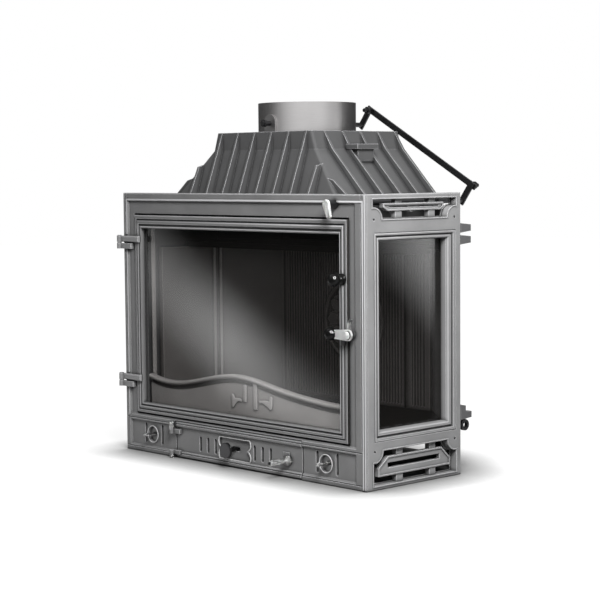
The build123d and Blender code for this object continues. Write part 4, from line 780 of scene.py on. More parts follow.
FORWARD = (0, -1, 0)
BACKWARD = (0, 1, 0)
print("turning tool ready")

# %% Ball knobs
front_plane = door_low.y
knob_low, knob_high = corners("door_knob")
knob_radius = (knob_high.x - knob_low.x) / 2 / MM
knob_reach = (front_plane - knob_low.y) / MM - knob_radius
knob_mesh = turned_mesh(
    "ball knob", (centre("door_knob").x, front_plane, centre("door_knob").z), FORWARD,
    [(0, 0), (0, 11), (1.6, 11), (2.6, 10.4), (3.0, 9.0), (4.2, 7.6), (5.2, 5.6), (6.0, 5.0)]
    + ball_profile(knob_reach, knob_radius, 5.0), black_gloss)
set_in_place("ball knob", knob_mesh, "front_door", ("door_knob",))

LATCH_PIVOT_X = 327 * MM
BALL_RADIUS = 12.5
latch_low = corners("latch_lever")[0]
latch_axis = Vector((LATCH_PIVOT_X, latch_low.y, centre("latch_lever").z))
ball_place = Vector((latch_low.x + BALL_RADIUS * MM, latch_low.y + BALL_RADIUS * MM,
                     latch_axis.z))
latch_ball_mesh = turned_mesh(
    "latch ball", ball_place + Vector((BALL_RADIUS * MM, 0, 0)), (-1, 0, 0),
    [(0, 0), (0, 5.0)] + [(along, radius) for along, radius
                          in ball_profile(BALL_RADIUS, BALL_RADIUS, 5.5) if along > 0.5],
    black_gloss)
set_in_place("latch ball", latch_ball_mesh, "latch")
print("ball radii in mm:", round(knob_radius, 2), BALL_RADIUS)

# %% [markdown]
# ## Air pegs, air knob and ash handle
#
# The two air pegs are drawn rods with small balls. The ash door has a black
# disc knob on a stalk in its middle, and a stubby handle: a long grip in front
# of a neck that flares into its plate.

# %% Air pegs, air knob and ash handle
DISH_HEIGHT = 40.5 * MM
PEG_ROOT_Y = -193.5 * MM
for node in ("left_air_slide", "right_air_slide"):
    peg_name = node.replace("_", " ") + " peg"
    peg = turned_mesh(peg_name, (centre(node).x, PEG_ROOT_Y, DISH_HEIGHT), FORWARD,
                      [(0, 0), (0, 3.0), (16, 3.0), (17, 3.4), (19, 3.9), (21, 3.6), (22, 3.1)]
                      + ball_profile(26.5, 4.5, 3.1), satin_steel, 32)
    set_in_place(peg_name, peg, node)

AIR_KNOB_HEIGHT = 37.5 * MM
disc_place = Vector((centre("air_slide").x, corners("air_slide")[0].y, AIR_KNOB_HEIGHT))
disc_mesh = turned_mesh("ash air knob", disc_place, BACKWARD,
                        [(0, 0), (0.1, 6), (0.5, 10.5), (1.3, 13.5), (2.6, 15.6), (3.8, 16.1),
                         (5.0, 15.6), (6.2, 13.8), (7.2, 10), (8.0, 6), (10, 5.0), (23, 5.0)],
                        black_gloss)
set_in_place("ash air knob", disc_mesh, "air_slide")

HANDLE_HEIGHT = 33.5 * MM
GRIP_LENGTH = 27.9 * MM
handle_tip = Vector((centre("ash_handle").x, corners("ash_handle")[0].y, HANDLE_HEIGHT))
grip_mesh = turned_mesh(
    "handle grip", handle_tip, BACKWARD,
    [(0, 0), (0.0, 3.6), (0.5, 4.8), (1.6, 5.7), (6, 6.2), (18, 6.0), (20.4, 5.8), (20.6, 6.6),
     (27.2, 6.6), (27.8, 5.8), (28, 0)], satin_steel)
set_in_place("handle grip", grip_mesh, "ash_handle")
neck_mesh = turned_mesh(
    "handle neck", handle_tip + Vector((0, GRIP_LENGTH, 0)), BACKWARD,
    [(0, 0), (0, 4.8), (3, 4.7), (13, 4.7), (15, 6.0), (16.4, 8.6), (18, 9.8), (22, 9.8),
     (23.2, 9.0)], satin_steel)
set_in_place("handle neck", neck_mesh, "ash_handle")
print("the ash handle reaches y =", round(handle_tip.y, 4), "m")

# %% [markdown]
# ## Latch
#
# The latch is a flat bright bar with a round end, a dark washer and a domed
# bolt. The bar is a plate with a rounded outline and rolled rims, which is how
# it catches a bright line. One tool gives the outline of a bar with two round
# ends, and one cuts a bevelled plate from any outline.


# %% Bars and plates
def stadium(u0, v0, u1, v1, half0, half1, steps=12):
    """Outline round two points: a bar with round ends of two half widths."""
    along = Vector((u1 - u0, v1 - v0)).normalized()
    side = Vector((-along.y, along.x))
    outline = []
    for (u, v), half, start in (((u1, v1), half1, 0.0), ((u0, v0), half0, math.pi)):
        for step in range(steps + 1):
            angle = start + math.pi * step / steps
            outline.append(Vector((u, v)) - side * half * math.cos(angle)
                           + along * half * math.sin(angle))
    return outline


def plate_mesh(name, outline, place, low, high, bevel, finish, rounds=3):
    """A flat plate from an outline, with its rims rounded over by bevel metres."""
    count = len(outline)
    points = [place(u, v, low) for u, v in outline] + [place(u, v, high) for u, v in outline]
    faces = [list(range(count)), list(range(count, 2 * count))]
    faces += [[side, (side + 1) % count, count + (side + 1) % count, count + side]
              for side in range(count)]
    mesh = finished_mesh(name, points, faces, finish, smooth=False)
    shape = bmesh.new()
    shape.from_mesh(mesh)
    rims = [edge for edge in shape.edges if len(edge.link_faces) == 2
            and edge.calc_face_angle(0) > math.radians(50)]
    bmesh.ops.bevel(shape, geom=rims, offset=bevel, segments=rounds, affect="EDGES",
                    profile=0.5, clamp_overlap=True)
    bmesh.ops.recalc_face_normals(shape, faces=shape.faces)
    shape.to_mesh(mesh)
    shape.free()
    mesh.shade_smooth()
    mesh.set_sharp_from_angle(angle=SHARP)
    return mesh


print("plate tool ready")

# %% Latch bar, washer and bolt
bolt_high = corners("latch_bolt")[1]
BAR_THICK = 5.0
bar_back = bolt_high.y + 0.5 * MM + BAR_THICK * MM


def on_latch(u, v, height):
    """A point at a height in front of the back of the latch bar."""
    return Vector((u, bar_back - height * MM, v))


latch_axis_x, latch_axis_z = latch_axis.x, latch_axis.z
bar_outline = stadium(ball_place.x + 8 * MM, latch_axis_z, latch_axis_x, latch_axis_z,
                      8.4 * MM, 10.6 * MM)
bar_mesh = plate_mesh("latch bar", bar_outline, on_latch, 0.0, BAR_THICK, 1.2 * MM,
                      bright_steel)
set_in_place("latch bar", bar_mesh, "latch", ("latch_lever",))
washer_mesh = turned_mesh("latch washer", (latch_axis_x, bar_back, latch_axis_z), FORWARD,
                          [(-4.0, 0), (-4.0, 9.8), (-3.6, 10.2), (-0.4, 10.2), (0, 9.8),
                           (0.2, 8.6), (5.0, 8.6), (5.35, 8.3), (5.4, 0)], linkage_steel)
set_in_place("latch washer", washer_mesh, "latch")
bolt_mesh = turned_mesh("domed bolt", (latch_axis_x, bolt_high.y, latch_axis_z), FORWARD,
                        [(0, 0), (0, 7.0), (0.5, 7.5), (2.6, 7.5), (3.5, 6.9), (4.3, 5.4),
                         (4.8, 3.0), (5.0, 0)], bright_steel)
set_in_place("domed bolt", bolt_mesh, "front_door", ("latch_bolt",))
print("the latch bar's back is at y =", round(bar_back, 4), "m")

# %% [markdown]
# ## What the latch sits on
#
# Behind the washer the door has a round cast seat. A small hook stands above
# the bar, and a dark block below it. They take the place of the plain plate
# that the solids have there.

# %% Latch seat, hook and block
plate_low = corners("latch_plate")[0]


def on_door_face(u, v, height):
    """A point at a height in front of the door's face."""
    return Vector((u, front_plane - height * MM, v))


seat_mesh = turned_mesh("latch seat", (latch_axis_x, front_plane + 0.5 * MM, latch_axis_z),
                        FORWARD, [(0, 0), (0, 6.0), (10.2, 6.0), (11.0, 5.4), (11.0, 0)],
                        door_iron)
set_in_place("latch seat", seat_mesh, "front_door", ("latch_plate",))
HOOK_LINE = [(321, 297), (319.5, 304), (319.5, 311), (321.5, 316), (324.5, 318)]
hook_outline = ([(u * MM, v * MM) for u, v in HOOK_LINE]
                + [((u + 2.6) * MM, (v - 0.6) * MM) for u, v in reversed(HOOK_LINE)])
hook_mesh = plate_mesh("latch hook", hook_outline, on_door_face, 0.2, 9.0, 0.8 * MM,
                       satin_steel)
set_in_place("latch hook", hook_mesh, "front_door")
block_corners = [(1, -6), (10, -6), (10, 3), (1, 3)]
block_outline = [(plate_low.x + u * MM, plate_low.z + v * MM) for u, v in block_corners]
block_mesh = plate_mesh("latch block", block_outline, on_door_face, 0.2, 6.0, 1.0 * MM,
                        plate_steel)
set_in_place("latch block", block_mesh, "front_door")
print("hook points:", len(hook_outline), "block corners:", len(block_outline))

# %% [markdown]
# ## Control lever
#
# The lever that works the flue damper tapers towards its tip and turns on a
# shaft through the frame's top rail. A thin collar rings the shaft behind it.

# %% Control lever and collar
lever_low, lever_high = corners("control_lever")
SHAFT_X, SHAFT_Z = 280 * MM, 531 * MM
lever_tip = Vector((lever_high.x - 5 * MM, lever_low.z + 5 * MM))


def on_lever(u, v, height):
    """A point at a height in front of the lever's back."""
    return Vector((u, lever_high.y - height * MM, v))


lever_mesh = plate_mesh("tapered lever", stadium(lever_tip.x, lever_tip.y, SHAFT_X, SHAFT_Z,
                                                 5.8 * MM, 8.6 * MM),
                        on_lever, 0.0, 6.0, 1.6 * MM, bright_steel)
set_in_place("tapered lever", lever_mesh, "control", ("control_lever",))
bush_y = corners("shaft_bush")[0].y
collar_mesh = turned_mesh("shaft collar", (SHAFT_X, bush_y + 1 * MM, SHAFT_Z), FORWARD,
                          [(0, 0), (0, 7.6), (0.6, 8.0), (2.4, 8.0), (3.0, 7.4), (3.0, 0)],
                          linkage_steel)
set_in_place("shaft collar", collar_mesh, "insert_body")
print("lever faces:", len(lever_mesh.polygons))

# %% [markdown]
# ## Growing what repeats
#
# Screws, petals, reeds and the strands of a rope repeat along a line or stand
# at a few points. A Geometry Nodes tree lays a small shape along a path and
# turns it to follow the path, a second one sets a shape at loose points, and a
# third draws a round wire along a path. Each ends in Realize Instances, because
# instances don't leave Blender, and in Set Material. The result is turned into
# a plain mesh before it rides anywhere.


# %% Trees for repeated shapes
def tree_with_sockets(name, inputs):
    """An empty tree with a Path and other named inputs, and the identifiers of them all."""
    tree = bpy.data.node_groups.new(name, "GeometryNodeTree")
    tree.interface.new_socket("Geometry", in_out="OUTPUT", socket_type="NodeSocketGeometry")
    keys = {}
    for label, kind in (("Path", "NodeSocketGeometry"), *inputs):
        keys[label] = tree.interface.new_socket(label, in_out="INPUT",
                                                socket_type=kind).identifier
    return tree, keys, tree.nodes.new("NodeGroupInput"), tree.nodes.new("NodeGroupOutput")


def end_tree(tree, source, result, instances):
    """Realize Instances and Set Material, the last two nodes of every tree."""
    real = tree.nodes.new("GeometryNodeRealizeInstances")
    paint = tree.nodes.new("GeometryNodeSetMaterial")
    join(tree, instances, real.inputs["Geometry"])
    join(tree, real.outputs["Geometry"], paint.inputs["Geometry"])
    join(tree, source.outputs["Finish"], paint.inputs["Material"])
    join(tree, paint.outputs["Geometry"], result.inputs["Geometry"])


def along_a_path():
    """The tree that lays a shape along a path, at the path's points or at an even pitch."""
    tree, keys, source, result = tree_with_sockets(
        "laid along a path",
        [("Shape", "NodeSocketObject"), ("Pitch", "NodeSocketFloat"),
         ("Even pitch", "NodeSocketBool"), ("Lean", "NodeSocketRotation"),
         ("Finish", "NodeSocketMaterial")])
    curve = tree.nodes.new("GeometryNodeMeshToCurve")
    even = tree.nodes.new("GeometryNodeResampleCurve")
    even.mode = "LENGTH"
    pick = add(tree, "GeometryNodeSwitch", input_type="GEOMETRY")
    tangent = tree.nodes.new("GeometryNodeInputTangent")
    follow = add(tree, "FunctionNodeAlignRotationToVector", axis="X", pivot_axis="AUTO")
    lean = add(tree, "FunctionNodeRotateRotation", rotation_space="LOCAL")
    shape = tree.nodes.new("GeometryNodeObjectInfo")
    copies = tree.nodes.new("GeometryNodeInstanceOnPoints")
    join(tree, source.outputs["Path"], curve.inputs["Mesh"])
    join(tree, curve.outputs["Curve"], even.inputs["Curve"])
    join(tree, source.outputs["Pitch"], even.inputs["Length"])
    join(tree, source.outputs["Even pitch"], pick.inputs["Switch"])
    join(tree, curve.outputs["Curve"], pick.inputs["False"])
    join(tree, even.outputs["Curve"], pick.inputs["True"])
    join(tree, pick.outputs["Output"], copies.inputs["Points"])
    join(tree, tangent.outputs["Tangent"], follow.inputs["Vector"])
    join(tree, follow.outputs["Rotation"], lean.inputs["Rotation"])
    join(tree, source.outputs["Lean"], lean.inputs["Rotate By"])
    join(tree, source.outputs["Shape"], shape.inputs["Object"])
    join(tree, shape.outputs["Geometry"], copies.inputs["Instance"])
    join(tree, lean.outputs["Rotation"], copies.inputs["Rotation"])
    end_tree(tree, source, result, copies.outputs["Instances"])
    return tree, keys


def at_loose_points():
    """The tree that sets a shape at each point, unturned."""
    tree, keys, source, result = tree_with_sockets(
        "set at points", [("Shape", "NodeSocketObject"), ("Finish", "NodeSocketMaterial")])
    shape = tree.nodes.new("GeometryNodeObjectInfo")
    copies = tree.nodes.new("GeometryNodeInstanceOnPoints")
    join(tree, source.outputs["Path"], copies.inputs["Points"])
    join(tree, source.outputs["Shape"], shape.inputs["Object"])
    join(tree, shape.outputs["Geometry"], copies.inputs["Instance"])
    end_tree(tree, source, result, copies.outputs["Instances"])
    return tree, keys


def wire_along():
    """The tree that draws a round wire of some thickness along a path."""
    tree, keys, source, result = tree_with_sockets(
        "wire along a path", [("Thickness", "NodeSocketFloat"),
                              ("Finish", "NodeSocketMaterial")])
    curve = tree.nodes.new("GeometryNodeMeshToCurve")
    section = add(tree, "GeometryNodeCurvePrimitiveCircle", {"Resolution": 10})
    tube = tree.nodes.new("GeometryNodeCurveToMesh")
    half = add(tree, "ShaderNodeMath", operation="MULTIPLY")
    half.inputs[1].default_value = 0.5
    join(tree, source.outputs["Path"], curve.inputs["Mesh"])
    join(tree, source.outputs["Thickness"], half.inputs[0])
    join(tree, half.outputs[0], section.inputs["Radius"])
    join(tree, curve.outputs["Curve"], tube.inputs["Curve"])
    join(tree, section.outputs["Curve"], tube.inputs["Profile Curve"])
    end_tree(tree, source, result, tube.outputs["Mesh"])
    return tree, keys


ALONG_PATH = along_a_path()
AT_POINTS = at_loose_points()
WIRE = wire_along()
print("trees:", [tree.name for tree, keys in (ALONG_PATH, AT_POINTS, WIRE)])


# %% From a tree to a plain mesh
def grown_mesh(name, tree_and_keys, path, edges, finish, **values):
    """Evaluates a tree on a path and gives the result as a plain mesh."""
    tree, keys = tree_and_keys
    path_mesh = bpy.data.meshes.new(name + " path")
    path_mesh.from_pydata([tuple(point) for point in path], edges, [])
    host = bpy.data.objects.new(name + " host", path_mesh)
    bpy.context.scene.collection.objects.link(host)
    grow = host.modifiers.new("grow", "NODES")
    grow.node_group = tree
    grow[keys["Finish"]] = finish
    for label, value in values.items():
        grow[keys[label.replace("_", " ")]] = value
    ready = host.evaluated_get(bpy.context.evaluated_depsgraph_get())
    mesh = bpy.data.meshes.new_from_object(ready)
    mesh.name = name
    host.modifiers.remove(grow)
    bpy.data.objects.remove(host)
    return mesh


def repeated_mesh(name, tree_and_keys, path, edges, shape_mesh, finish, **values):
    """Copies of a small shape on a path, as one plain mesh."""
    seed = bpy.data.objects.new(name + " shape", shape_mesh)
    bpy.context.scene.collection.objects.link(seed)
    mesh = grown_mesh(name, tree_and_keys, path, edges, finish, Shape=seed, **values)
    bpy.data.objects.remove(seed)
    return mesh


def ring_edges(count):
    """The edges that close count points into a ring."""
    return [(index, (index + 1) % count) for index in range(count)]


print("ring of 4:", ring_edges(4))

# %% [markdown]
# ## Rope seals
#
# A stove door closes on a rope of woven glass yarn pressed into a groove. Up
# close it is a string of slanting plump strands. One strand is a small rounded
# lump, laid every few millimetres along the groove and leant over, so that each
# one tucks under the next.


# %% Rope seals
def strand_mesh(length, thick, finish):
    """One plump strand, a little ball drawn out along its own x."""
    points, faces = [], []
    rings, steps = 5, 8
    for ring in range(rings + 1):
        angle = math.pi * ring / rings
        for step in range(steps):
            turn = 2 * math.pi * step / steps
            points.append((-length / 2 * math.cos(angle),
                           thick / 2 * math.sin(angle) * math.cos(turn),
                           thick / 2 * math.sin(angle) * math.sin(turn)))
    for ring in range(rings):
        for step in range(steps):
            after = (step + 1) % steps
            faces.append([ring * steps + step, ring * steps + after,
                          (ring + 1) * steps + after, (ring + 1) * steps + step])
    return finished_mesh("strand", points, faces, finish)


STRAND_PITCH, STRAND_LENGTH = 4.2 * MM, 7.4 * MM
STRAND_LEAN = math.radians(38)
STRAND_FACES = 40


def rope_round(name, node, flat, width, thick):
    """A rope along the middle of a flat seal. flat is the axis across the seal's face."""
    low, high = corners(node)
    middle = (low + high) / 2
    first = 1 if flat == 0 else 0
    inset = width / 2
    u0, u1 = low[first] + inset, high[first] - inset
    v0, v1 = low.z + inset, high.z - inset
    path = []
    for u, v in ((u0, v0), (u1, v0), (u1, v1), (u0, v1)):
        point = Vector((0, 0, v))
        point[flat] = middle[flat]
        point[first] = u
        path.append(point)
    lean = (0, 0, STRAND_LEAN) if flat == 1 else (0, STRAND_LEAN, 0)
    return repeated_mesh(name, ALONG_PATH, path, ring_edges(4),
                         strand_mesh(STRAND_LENGTH, thick, rope), rope, Pitch=STRAND_PITCH,
                         Even_pitch=True, Lean=lean)


door_rope = rope_round("door rope seal", "door_seal", 1, 7 * MM, 5.2 * MM)
set_in_place("door rope seal", door_rope, "front_door", ("door_seal",))
side_rope = rope_round("side rope seal", "side_seal", 0, 4 * MM, 3.4 * MM)
set_in_place("side rope seal", side_rope, "insert_body", ("side_seal",))
print("rope strands:", (len(door_rope.polygons) + len(side_rope.polygons)) // STRAND_FACES)

# %% [markdown]
# ## Screws of the side frame
#
# Four countersunk screws hold the two grilles. Each head is turned with a
# dished middle, as the drive recess shows at this size.

# %% Side screws
screw_low, screw_high = corners("side_screws")
SCREW_RADIUS = 2.2
head_mesh = turned_mesh("screw head", (0, 0, 0), (1, 0, 0),
                        [(-8, 0), (-8, 1.6), (-1, 1.6), (-1, 2.2), (0.9, 2.2), (1.4, 1.9),
                         (1.5, 1.1), (0.7, 0.9), (0.6, 0)], linkage_steel, 24)
screw_places = [Vector((screw_high.x - 0.1 * MM, y, z))
                for y in (screw_low.y + SCREW_RADIUS * MM, screw_high.y - SCREW_RADIUS * MM)
                for z in (screw_low.z + SCREW_RADIUS * MM, screw_high.z - SCREW_RADIUS * MM)]
screws = repeated_mesh("dished screws", AT_POINTS, screw_places, [], head_mesh, linkage_steel)
set_in_place("dished screws", screws, "insert_body", ("side_screws",))
print("screws at", [tuple(round(v, 3) for v in place) for place in screw_places])

# %% [markdown]
# ## Log guard
#
# The guard keeps logs off the pane. It is one casting: a plate whose top edge
# runs in a wave, a rolled rail along that edge and a channel under the rail. The
# wave is read from the solid's own top edge, so that the rail follows it, and
# one cross-section is carried along it, lifted and lowered with the wave.

# %% The guard's wave
RAIL_OUT, GUARD_THICK = 7 * MM, 6 * MM
guard_low = corners("log_guard")[0]
guard_solid = nodes["log_guard"].data.vertices
guard_face = guard_low.y + RAIL_OUT
guard_back = guard_face + GUARD_THICK
crest = sorted({(round(v.co.x, 5), round(v.co.z, 5)) for v in guard_solid
                if abs(v.co.y - guard_back) < 0.1 * MM and v.co.z > guard_low.z + 30 * MM})
print("wave points read:", len(crest))


def crest_height(x):
    """The height of the wave at x, between the two points read on either side of it."""
    for (x0, z0), (x1, z1) in zip(crest, crest[1:]):
        if x <= x1:
            return z0 + (z1 - z0) * (x - x0) / (x1 - x0)
    return crest[-1][1]


# %% Waved guard
# (out from the back in mm, down from the crest in mm, painted highlight, painted shadow); None is
# the foot
GUARD_SECTION = [(0, None, 0, 0), (6, None, 0, 0), (6, 20.5, 0, 0), (5.4, 19.2, 0, 0.5),
                 (3.4, 18.4, 0, 1), (3.0, 12.4, 0, 1), (7.0, 10.6, 0, 1), (11.0, 9.2, 0, 0.3),
                 (12.6, 7.0, 0, 0), (13.0, 4.6, 0.3, 0), (12.4, 2.2, 0.6, 0),
                 (10.4, 0.6, 0.2, 0), (7, 0, 0, 0), (0, 0.3, 0, 0)]
GUARD_COLUMNS = 120
points, faces, rubbed, sooted = [], [], [], []
for column in range(GUARD_COLUMNS + 1):
    x = crest[0][0] + (crest[-1][0] - crest[0][0]) * column / GUARD_COLUMNS
    top = crest_height(x)
    for out, down, highlight_share, soot_and_shade in GUARD_SECTION:
        z = guard_low.z if down is None else top - down * MM
        points.append(Vector((x, guard_back - out * MM, z)))
        # The rail's crest carries a painted highlight and the channel under it a painted shadow.
        rubbed.append(highlight_share)
        sooted.append(soot_and_shade)
ring = len(GUARD_SECTION)
for column in range(GUARD_COLUMNS):
    for step in range(ring):
        after = (step + 1) % ring
        faces.append([column * ring + step, column * ring + after,
                      (column + 1) * ring + after, (column + 1) * ring + step])
faces += [list(range(ring)), list(range(GUARD_COLUMNS * ring, (GUARD_COLUMNS + 1) * ring))]
guard_mesh = finished_mesh("waved guard", points, faces, guard_iron, rubbed=rubbed,
                           sooted=sooted)
set_in_place("waved guard", guard_mesh, "insert_body", ("log_guard",))
print("guard:", len(guard_mesh.polygons), "faces")

# %% [markdown]
# ## Ornament of the guard
#
# In the middle of the guard stand two upright bars between two wings, cast in
# relief and paler than the guard. Each is an outline of a few corners, in
# millimetres across and up, cut as a plate with well-rounded rims.

# %% Guard ornament
ORNAMENT = {
    "guard bar left": [(-26, 128), (-16, 128), (-16, 160), (-19, 164), (-25, 163)],
    "guard bar right": [(4, 117), (8, 114), (16, 115), (15, 168), (10, 171), (4, 169)],
    "guard wing left": [(-62, 116), (-56, 113), (-50, 122), (-40, 128), (-30, 127), (-30, 133),
                        (-42, 135), (-52, 134), (-56, 142), (-62, 142)],
    "guard wing right": [(22, 129), (32, 130), (46, 124), (56, 118), (60, 124), (61, 146),
                         (54, 146), (52, 136), (40, 137), (22, 135)],
}


def on_guard(u, v, height):
    """A point at a height in front of the guard's face."""
    return Vector((u, guard_face - height * MM, v))


for name, outline in ORNAMENT.items():
    mesh = plate_mesh(name, [(u * MM, v * MM) for u, v in outline], on_guard, -0.5, 3.4,
                      1.6 * MM, relief_iron)
    set_in_place(name, mesh, "insert_body")
print("ornament pieces:", len(ORNAMENT))

# %% [markdown]
# ## Rim of the ash door's cartouche
#
# The recess round the air knob has a fine raised rim. It is a round wire that
# follows the recess: straight along the top and bottom, and down each side in
# two bulging arcs that meet in a waist. It is painted pale, a painted highlight
# along the rim. An arc is found from three of its points, which is how such an
# outline is measured off a drawing.

# %% Cartouche rim
CARTOUCHE_HALF, CARTOUCHE_WAIST, CARTOUCHE_BULGE = 44 * MM, 37.5 * MM, 47 * MM
CARTOUCHE_LOW, CARTOUCHE_HIGH = 15.5 * MM, 57.5 * MM
CARTOUCHE_STEPS = 10
RIM_OUT, RIM_WIRE = 1.2 * MM, 3.2 * MM


def arc_through(first, middle, last, steps):
    """Points on the circle through three (u, v) points, without the last one."""
    (ax, ay), (bx, by), (cx, cy) = first, middle, last
    twice = 2 * (ax * (by - cy) + bx * (cy - ay) + cx * (ay - by))
    a2, b2, c2 = ax * ax + ay * ay, bx * bx + by * by, cx * cx + cy * cy
    ux = (a2 * (by - cy) + b2 * (cy - ay) + c2 * (ay - by)) / twice
    uy = (a2 * (cx - bx) + b2 * (ax - cx) + c2 * (bx - ax)) / twice
    start, mid, end = (math.atan2(y - uy, x - ux) for x, y in (first, middle, last))
    radius = math.hypot(ax - ux, ay - uy)
    turn = (end - start) % (2 * math.pi)
    if (mid - start) % (2 * math.pi) > turn:
        turn -= 2 * math.pi
    return [(ux + radius * math.cos(start + turn * step / steps),
             uy + radius * math.sin(start + turn * step / steps)) for step in range(steps)]


def cartouche_outline(grow):
    """The right half from top to bottom, then the left half mirrored back up."""
    half, waist, bulge = (v + grow for v in (CARTOUCHE_HALF, CARTOUCHE_WAIST, CARTOUCHE_BULGE))
    low, high = CARTOUCHE_LOW - grow, CARTOUCHE_HIGH + grow
    middle = (low + high) / 2
    quarter = (high - low) / 4
    right_half = (arc_through((half, high), (bulge, middle + quarter), (waist, middle),
                              CARTOUCHE_STEPS)
                  + arc_through((waist, middle), (bulge, middle - quarter), (half, low),
                                CARTOUCHE_STEPS)
                  + [(half, low)])
    return right_half + [(-u, v) for u, v in reversed(right_half)]


ASH_FACE = FRONT + 4 * MM
rim_path = [Vector((disc_place.x + u, ASH_FACE - 0.2 * MM, v))
            for u, v in cartouche_outline(RIM_OUT)]
rim = grown_mesh("cartouche rim", WIRE, rim_path, ring_edges(len(rim_path)), highlighted_iron,
                 Thickness=RIM_WIRE)
rim.shade_smooth()
set_in_place("cartouche rim", rim, "ash_door")
print("cartouche rim:", len(rim.polygons), "faces")

# %% [markdown]
# ## Rims of the peg dishes
#
# Each air peg stands in a round dish of its panel, and the dish has a rim of
# the same kind, painted pale in the same way: a painted highlight. The same
# tree draws it along a plain circle.

# %% Dish rims
DISH_RADIUS, DISH_WIRE, DISH_STEPS = 17.4 * MM, 2.2 * MM, 48
for side, middle_x in (("left", -270 * MM), ("right", 252 * MM)):
    turns = [2 * math.pi * step / DISH_STEPS for step in range(DISH_STEPS)]
    dish_path = [Vector((middle_x + DISH_RADIUS * math.cos(turn), FRONT - 0.1 * MM,
                         DISH_HEIGHT + DISH_RADIUS * math.sin(turn))) for turn in turns]
    dish_name = side + " dish rim"
    dish_rim = grown_mesh(dish_name, WIRE, dish_path, ring_edges(DISH_STEPS), highlighted_iron,
                          Thickness=DISH_WIRE)
    dish_rim.shade_smooth()
    set_in_place(dish_name, dish_rim, "insert_body")
print("dish rims are", 2 * DISH_RADIUS / MM, "mm across")

# %% [markdown]
# ## Reeds of the rear lining
#
# The rear lining is cast with upright reeds between its flutes. One reed is a
# bar with a rounded face, and the tree lays it along a level line, one pitch
# apart, so the number of reeds follows from the width of the plate.


# %% Reeds
def half_round_mesh(name, half, rise, low, high, finish, steps=6):
    """An upright bar with a rounded face towards the viewer, at the origin."""
    arc = [(-half * math.cos(math.pi * step / steps), -rise * math.sin(math.pi * step / steps))
           for step in range(steps + 1)]
    outline = arc + [(half, 0.6 * MM), (-half, 0.6 * MM)]
    count = len(outline)
    points = [(x, y, low) for x, y in outline] + [(x, y, high) for x, y in outline]
    faces = [list(range(count)), list(range(count, 2 * count))]
    faces += [[side, (side + 1) % count, count + (side + 1) % count, count + side]
              for side in range(count)]
    return finished_mesh(name, points, faces, finish)


REED_PITCH, REED_MARGIN = 8.0 * MM, 8.0 * MM
REED_HALF, REED_RISE = 2.3 * MM, 2.4 * MM


def reeds_on(node):
    """Reeds between the flutes of a lining plate. Gives their number."""
    low, high = corners(node)
    face_y = corners("rear_lining_right")[0].y
    count = int((high.x - low.x - 2 * REED_MARGIN) // REED_PITCH)
    middle = (low.x + high.x) / 2
    ends = [Vector((middle + side * (count - 2) / 2 * REED_PITCH, face_y, 0))
            for side in (-1, 1)]
    reed = half_round_mesh("reed", REED_HALF, REED_RISE, low.z + REED_MARGIN,
                           high.z - REED_MARGIN, lining_iron)
    name = node.replace("_", " ") + " reeds"
    mesh = repeated_mesh(name, ALONG_PATH, ends, [(0, 1)], reed, lining_iron,
                         Pitch=REED_PITCH, Even_pitch=True, Lean=(0, 0, 0))
    set_in_place(name, mesh, "insert_body")
    return count - 1


print("reeds:", reeds_on("rear_lining"), "and", reeds_on("rear_lining_right"))

# %% [markdown]
# ## Flower on the rear lining
#
# In the middle of the lining is a round flower in relief, which shows through
# the side window: two rings of petals round a turned boss, inside a turned rim.
# Each petal is a small almond with a raised rib, and the tree lays the petals
# along a circle and turns each to follow it.

# %% Flower
rear_low, rear_high = corners("rear_lining")
FLOWER = Vector((-28 * MM, rear_low.y, 272 * MM))


def petal_mesh(length, width, rise, finish):
    """An almond lying in x and z with a ridge down its middle, its face towards -y."""
    points, faces = [], []
    steps, across = 10, 6
    for step in range(steps + 1):
        along = step / steps
        half = width / 2 * math.sin(math.pi * along) ** 0.7
        for part in range(across + 1):
            share = 2 * part / across - 1
            height = rise * (1 - share * share) * math.sin(math.pi * along) ** 0.5
            points.append((half * share, -height, length * (along - 0.5)))
    back = len(points)
    points += [(x, 0.8 * MM, z) for x, y, z in points]
    for step in range(steps):
        for part in range(across):
            one = step * (across + 1) + part
            square = [one, one + 1, one + across + 2, one + across + 1]
            faces += [square, [back + index for index in square]]
    for step in range(steps):
        for edge in (0, across):
            one, two = step * (across + 1) + edge, (step + 1) * (across + 1) + edge
            faces.append([one, two, back + two, back + one])
    for step in (0, steps):
        for part in range(across):
            one = step * (across + 1) + part
            faces.append([one, one + 1, back + one + 1, back + one])
    return finished_mesh("petal", points, faces, finish)


def petal_ring(name, radius, count, length, width, rise, out):
    """A ring of petals of one size, which stands out from the lining. Gives their number."""
    circle = [FLOWER + Vector((radius * math.cos(2 * math.pi * index / count), -out,
                               radius * math.sin(2 * math.pi * index / count)))
              for index in range(count)]
    mesh = repeated_mesh(name, ALONG_PATH, circle, ring_edges(count),
                         petal_mesh(length, width, rise, lining_iron), lining_iron,
                         Pitch=1.0, Even_pitch=False, Lean=(0, 0, 0))
    set_in_place(name, mesh, "insert_body")
    return count


